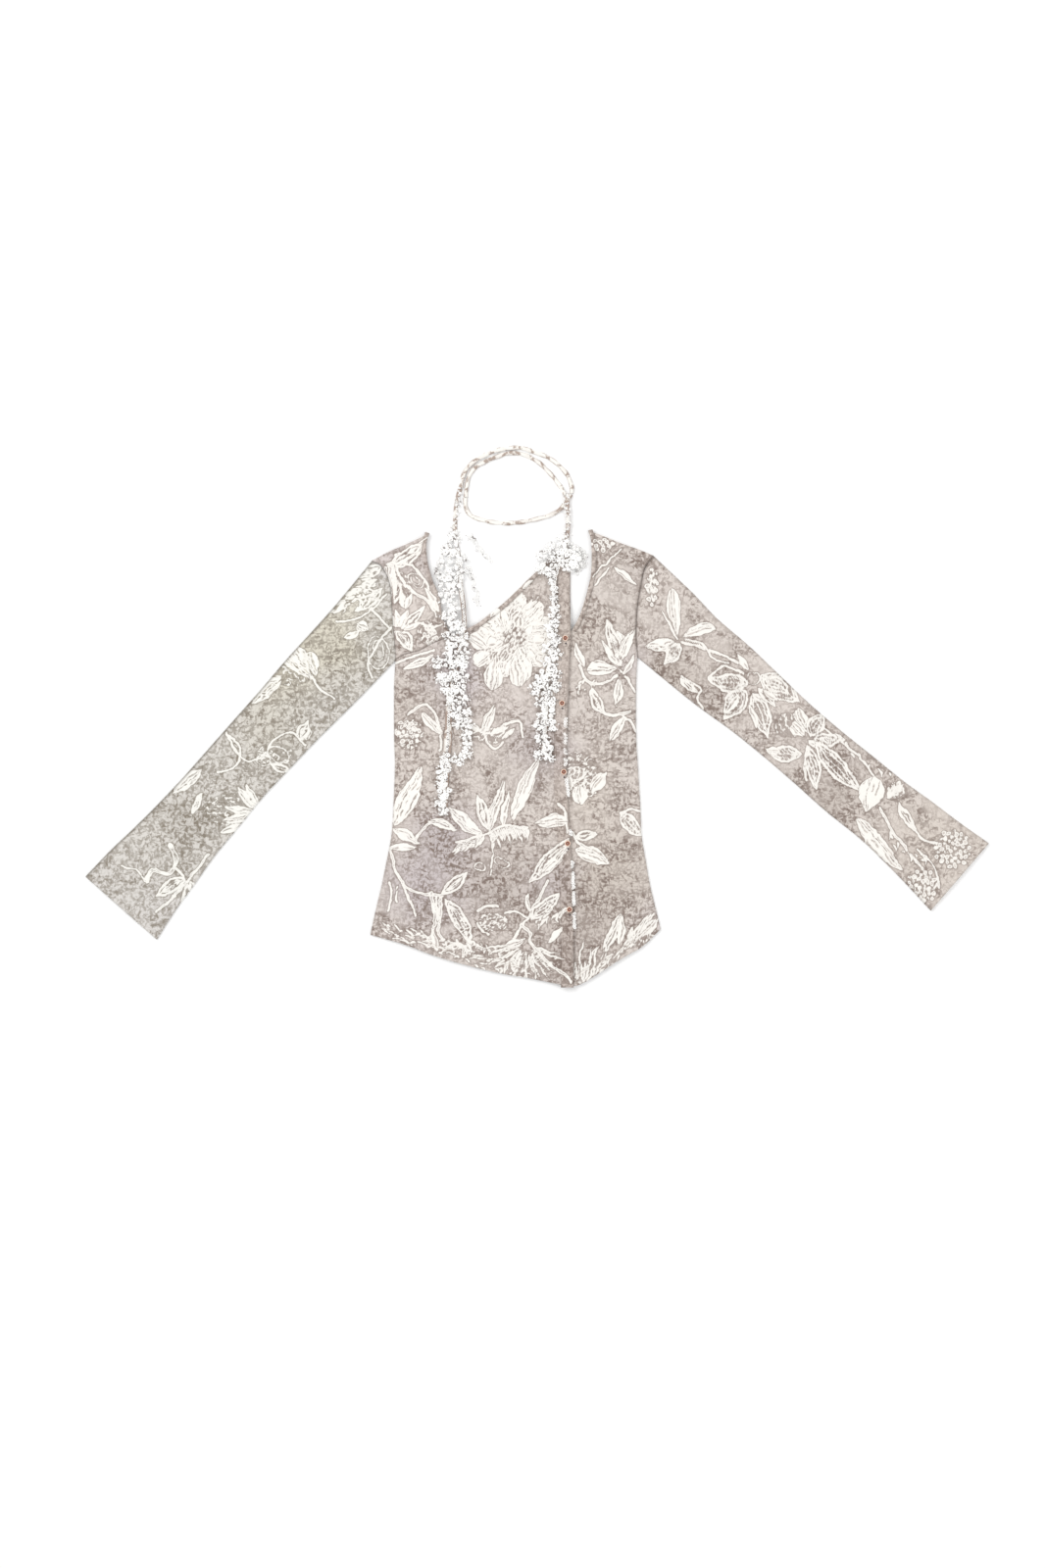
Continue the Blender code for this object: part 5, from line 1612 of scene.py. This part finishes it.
class LAIDTOP_OT_edges(bpy.types.Operator):
    """The bound neck edges and the button band."""

    bl_idname = "laid_top.edges"
    bl_label = "Bindings and button band"

    def execute(self, context):
        band_line = joined(buttoned_edge(290), upper_edge(71))[:-8]
        for name, line, width, under, rows, on in (
            ("binding_left", left_neck(110)[3:], BINDING_WIDTH, side_front_under, "yoke", "yoke_left_cloth"),
            ("binding_slanted", slanted_neck(150)[4:-17], -BINDING_WIDTH, main_front_under, "binding_slanted",
             "front_main_cloth"),
            ("binding_right", right_neck(110)[3:], -BINDING_WIDTH, side_front_under, "front_side",
             "front_side_cloth"),
            ("button_band", band_line, BAND_WIDTH, main_front_under, "front_main", "front_main_cloth"),
        ):
            share = np.linspace(0.0, 1.0, BAND_STEPS if name == "button_band" else BINDING_STEPS)
            plan = np.stack([beside(line, width * part) for part in share], axis=1)
            if width < 0:
                plan = plan[:, ::-1]
            x, y = plan[..., 0], plan[..., 1]
            crown = 0.25 * np.sin(math.pi * share)[None]
            top = under(x, y) + CLOTH + STRIP_GAP + BAND_CLOTH * (0.75 + crown)
            points = rolled(plan, top, BAND_CLOTH + STRIP_GAP, turn=0.1)
            ink, grain = printed(x, y, PRINT[rows])
            if name == "button_band":
                # The print fades out up the band
                ink = np.maximum(ink, (y - photo_place(0, BAND_PRINT_TOP)[1]) * 0.2)
            # Painted shade along one long edge of each strip
            shade = edge_shade(plan, {"start": 0.5 if name == "button_band" else 0.35})
            values = np.dstack([with_roll(ink), with_roll(grain), with_roll(shade)])
            faces = grid_faces(*points.shape[:2])[:, ::-1]
            new_piece(name + "_cloth", points, [faces], finish_for("band"), values, (name,), on)
        return {"FINISHED"}


class LAIDTOP_OT_buttons(bpy.types.Operator):
    """Small turned amber buttons, each with a rim, a dish and four thread holes."""

    bl_idname = "laid_top.buttons"
    bl_label = "Buttons"

    def execute(self, context):
        turn = np.arange(BUTTON_SIDES) * 2 * math.pi / BUTTON_SIDES
        for number, (x, y) in enumerate(BUTTONS, 1):
            circle = np.column_stack([np.cos(turn), np.sin(turn)]) * BUTTON_RADIUS
            ground = main_front_under(x + circle[:, 0], y + circle[:, 1])
            base = float(ground.max()) + CLOTH + STRIP_GAP + BAND_CLOTH
            ring = BUTTON_PROFILE[1:-1]
            plan = np.array([x, y]) + ring[:, None, :1] * circle[None]
            z = np.repeat(base + BUTTON_HEIGHT * ring[:, 1:], len(turn), axis=1)
            points = np.vstack([np.dstack([plan, z]).reshape(-1, 3),
                                [(x, y, base), (x, y, base + BUTTON_HEIGHT * BUTTON_PROFILE[-1, 1])]])
            reach = np.concatenate([np.repeat(ring[:, 0], len(turn)), [0.0, 0.0]])
            values = np.column_stack([reach, reach * 0, reach * 0])
            faces = [face[:, ::-1] for face in tube_faces(len(ring), len(turn))]
            button = new_piece(f"button_{number}_turned", points, faces, finish_for("button"), values,
                               (f"button_{number}",), "front_main_cloth")
            top = base + BUTTON_HEIGHT * 0.62
            out = BUTTON_HOLE_OUT
            spots = [(x + out * a, y + out * b, top) for a in (-1, 1) for b in (-1, 1)]
            hole_points, hole_faces = rings(spots, [0.4] * 4, [0.18] * 4, 0.8, (8, 4))
            new_piece(f"button_{number}_holes", hole_points, [hole_faces], finish_for("button"),
                      np.zeros((len(hole_points), 3)), (), button.name)
            # Painted shade: a small dark ring for the shaded end of the buttonhole below the button
            end = (x + 0.8, y - BUTTONHOLE_DROP, base + 0.3)
            hole_points, hole_faces = rings([end], [0.7], [0.6], 0.6, (10, 5))
            new_piece(f"buttonhole_{number}", hole_points, [hole_faces], finish_for("buttonhole"), None, (),
                      "front_main_cloth")
            cross = np.array([(x - out, y - out, top + 0.3), (x + out, y + out, top + 0.3)])
            other = np.array([(x - out, y + out, top + 0.5), (x + out, y - out, top + 0.5)])
            pieces = [tube_along(evenly(line, 6), 0.22, 0.22, 6) for line in (cross, other)]
            thread_points = np.vstack([part.reshape(-1, 3) for part in pieces])
            faces = grid_faces(6, 6, round_columns=True)[:, ::-1]
            new_piece(f"button_{number}_thread", thread_points, [np.vstack([faces, faces + 36])],
                      finish_for("thread"), None, (), button.name)
        return {"FINISHED"}


class LAIDTOP_OT_stitching(bpy.types.Operator):
    """Rows of stitches at the hems, seams and the band, and the picot trim down the buttoned edge."""

    bl_idname = "laid_top.stitching"
    bl_label = "Stitching and picot trim"

    def execute(self, context):
        depth = context.scene.laid_top_sizes.hem_depth / MM
        main, side_front, yoke = "front_main_cloth", "front_side_cloth", "yoke_left_cloth"

        def on_main(x, y):
            return main_front_under(x, y) + CLOTH

        def on_side(x, y):
            return side_front_under(x, y) + CLOTH

        for row, gap in enumerate(HEM_ROWS):
            stitches(f"hem_stitches_main_{row}", beside(hem("left", 200), depth + gap)[4:-20], on_main, main)
            line = beside(hem("right", 120), -depth - gap)[4:-8]
            stitches(f"hem_stitches_side_{row}", line, on_side, side_front)
        stitches("yoke_stitches", beside(yoke_seam(80), YOKE_STITCH_IN)[2:-4], on_side, yoke)
        for side, sign, on in (("left", 1.0, yoke), ("right", -1.0, side_front)):
            line = beside(armhole(side, 120), sign * ARMHOLE_STITCH_IN)[6:-4]
            stitches(f"armhole_stitches_{side}", line, on_side, on)
        line = joined(buttoned_edge(290), upper_edge(71))[6:-14]

        def on_band(x, y):
            return main_front_under(x, y) + CLOTH + STRIP_GAP + BAND_CLOTH * 0.85

        for row, gap in (("outer", BAND_STITCH_IN), ("inner", BAND_WIDTH - BAND_STITCH_IN)):
            stitches(f"band_stitches_{row}", beside(line, gap), on_band, main)
        edge = buttoned_edge(400)
        edge = edge[(edge[:, 1] < PICOT_RUNS[0][0]) & (edge[:, 1] > PICOT_RUNS[-1][1])]
        edge = evenly(beside(edge, -PICOT_OUT), int((PICOT_RUNS[0][0] - PICOT_RUNS[-1][1]) / PICOT_STEP))
        edge[:, 0] -= PICOT_IN * smooth_step((edge[:, 1] - PICOT_IN_FROM) / PICOT_IN_RUN)
        edge = edge[np.any([(edge[:, 1] < high) & (edge[:, 1] > low) for high, low in PICOT_RUNS], axis=0)]
        chance = np.random.default_rng(5)
        size = chance.uniform(0.8, 1.25, len(edge))
        height = main_front_under(edge[:, 0], edge[:, 1]) + CLOTH + 1.0
        sway = PICOT_OUT * np.cos(np.arange(len(edge)) * math.pi) + chance.uniform(-0.3, 0.3, len(edge))
        centres = np.column_stack([edge[:, 0] + sway, edge[:, 1], height])
        points, faces = rings(centres, 1.25 * size, 0.8 * size, 0.7, (10, 5))
        new_piece("picot_trim", points, [faces], finish_for("picot"), None, (), main)
        return {"FINISHED"}


class LAIDTOP_OT_scarf(bpy.types.Operator):
    """The neck scarf's stretches: narrow twisted tubes of cloth round the neck, and two flatter tails."""

    bl_idname = "laid_top.scarf"
    bl_label = "Neck scarf"

    def execute(self, context):
        stretches = [(f"scarf_{name}", rows, [STRAND_WIDTH], STRAND_HEIGHT, STRAND_RIDGE)
                     for name, rows in SCARF.items()]
        stretches += [(f"scarf_tail_{side}", rows, TAIL_WIDTHS[side], TAIL_HEIGHT, TAIL_RIDGE)
                      for side, rows in SCARF_TAIL.items()]
        for name, rows, widths, height, (twist, ridge) in stretches:
            rough = smooth_line(rows, 300)
            length = float(np.linalg.norm(np.diff(rough, axis=0), axis=1).sum())
            count = int(length / 1.6)
            line = np.maximum(smooth_line(rows, count), (-np.inf, -np.inf, 0.0))
            line[:, 2] += height / 2
            half = np.interp(np.linspace(0.0, 1.0, count), np.linspace(0.0, 1.0, len(widths)), widths) / 2
            points = tube_along(line, half, height / 2 * np.ones(count), SCARF_SIDES, twist, ridge)
            points[..., 2] = np.maximum(points[..., 2], 0.0)
            ends = line[[0, -1]]
            all_points = np.vstack([points.reshape(-1, 3), ends])
            turn = np.arange(SCARF_SIDES) * 2 * math.pi / SCARF_SIDES
            phase = np.cos(turn[None] - twist * np.arange(count)[:, None] * 1.6)
            values = np.zeros((len(all_points), 3))
            values[:count * SCARF_SIDES, 0] = phase.ravel()
            values[:count * SCARF_SIDES, 1] = np.tile(np.cos(turn), count)
            finish = finish_for("scarf_tail" if "tail" in name else "scarf")
            faces = tube_faces(count, SCARF_SIDES)
            piece = new_piece(name + "_cloth", all_points, faces, finish, values, (name,))
        return {"FINISHED"}


class LAIDTOP_OT_lace(bpy.types.Operator):
    """Crochet lace on both tails: flowers of looped petals joined by a chain."""

    bl_idname = "laid_top.lace"
    bl_label = "Crochet lace"

    def execute(self, context):
        for side in ("left", "right"):
            make_lace(side)
        return {"FINISHED"}


def make_lace(side):
    """Each flower is rounds of rings from the table: looped petals, a knot in each, small knots between them
    and a raised middle. Chance moves, sizes, draws out and tilts every ring a little. Then come a chain of
    rings down the tail, small knots over the tail above the flowers, and loose loops beside it."""
    line = smooth_line(SCARF_TAIL[side], 300)
    flowers = np.array(LACE_FLOWERS[side], float)
    number = np.arange(len(flowers))
    chance = np.random.default_rng(LACE_SEED[side])

    def floor_at(y):
        return np.interp(y, line[::-1, 1], np.maximum(line[::-1, 2], 0.0)) + TAIL_HEIGHT + LACE_LIFT

    made = []
    for petals, reach, size, tube, phase, lift in LACE_ROUNDS:
        for petal in range(petals):
            turn = 2 * math.pi * petal / petals + number * 1.1 + phase + chance.normal(0, 0.22, len(number))
            far = reach * flowers[:, 2] * chance.uniform(0.8, 1.18, len(number))
            x, y = flowers[:, 0] + far * np.cos(turn), flowers[:, 1] + far * np.sin(turn)
            z = floor_at(y) + lift + chance.uniform(-0.4, 0.5, len(number))
            scale = flowers[:, 2] * chance.uniform(0.72, 1.3, len(number))
            made.append(np.column_stack([x, y, z, size * scale, tube * scale, turn]))
    high, low = LACE_TAPE_ENDS[side]
    chain = line[(line[:, 1] < high) & (line[:, 1] > low)]
    chain = evenly(chain[:, :2], 110)
    made.append(thread_rings(chain, floor_at(chain[:, 1]) + 0.6, 1.5, 0.7))
    crown = evenly(line[line[:, 1] > high - 12][:, :2], 44) + chance.normal(0, 2.6, (44, 2))
    made.append(thread_rings(crown, floor_at(crown[:, 1]) + 0.3, 1.1, 0.6))
    for wisp in LACE_WISPS[side]:
        loops = smooth_line(wisp, 12 * len(wisp)) + chance.normal(0, 1.6, (12 * len(wisp), 2))
        made.append(thread_rings(loops, np.full(len(loops), 1.4), 2.3, 0.4))
    made = np.vstack(made)
    stretch, tilt = chance.uniform(0.0, 0.3, len(made)), chance.normal(0, 0.12, len(made))
    points, faces = rings(made[:, :3], made[:, 3], made[:, 4], 0.75, (9, 5), stretch, made[:, 5], tilt)
    points[:, 2] = np.maximum(points[:, 2], 0.1)
    new_piece(f"lace_{side}_crochet", points, [faces], finish_for("lace"), None, (f"lace_{side}",),
              f"scarf_tail_{side}_cloth")


def thread_rings(plan, height, radius, tube):
    """Rows for rings of one size along a plan line: x, y, height, radius, tube and heading."""
    rows = np.tile((0.0, 0.0, 0.0, radius, tube, 0.0), (len(plan), 1))
    rows[:, :2], rows[:, 2], rows[:, 5] = plan, height, np.arange(len(plan))
    return rows


class LAIDTOP_PT_panel(bpy.types.Panel):
    """The parts of the top, with their sizes and colours."""

    bl_label = "Laid-out top"
    bl_idname = "LAIDTOP_PT_panel"
    bl_space_type = "VIEW_3D"
    bl_region_type = "UI"
    bl_category = "Top"

    def draw(self, context):
        for operator in OPERATORS:
            self.layout.operator(operator.bl_idname)
        for group in (context.scene.laid_top_sizes, context.scene.laid_top_colours):
            for name in group.__annotations__:
                self.layout.prop(group, name)


OPERATORS = (
    LAIDTOP_OT_stage, LAIDTOP_OT_back, LAIDTOP_OT_fronts, LAIDTOP_OT_sleeves, LAIDTOP_OT_edges,
    LAIDTOP_OT_buttons, LAIDTOP_OT_stitching, LAIDTOP_OT_scarf, LAIDTOP_OT_lace,
)
CLASSES = (LaidTopColours, LaidTopSizes, *OPERATORS, LAIDTOP_PT_panel)


def register():
    for each in CLASSES:
        bpy.utils.register_class(each)
    bpy.types.Scene.laid_top_colours = bpy.props.PointerProperty(type=LaidTopColours)
    bpy.types.Scene.laid_top_sizes = bpy.props.PointerProperty(type=LaidTopSizes)


def unregister():
    del bpy.types.Scene.laid_top_colours
    del bpy.types.Scene.laid_top_sizes
    for each in reversed(CLASSES):
        bpy.utils.unregister_class(each)


def main():
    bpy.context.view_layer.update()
    register()
    for step in ("stage", "back", "fronts", "sleeves", "edges", "buttons", "stitching", "scarf", "lace"):
        getattr(bpy.ops.laid_top, step)()
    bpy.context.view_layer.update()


if __name__ == "__main__":
    main()
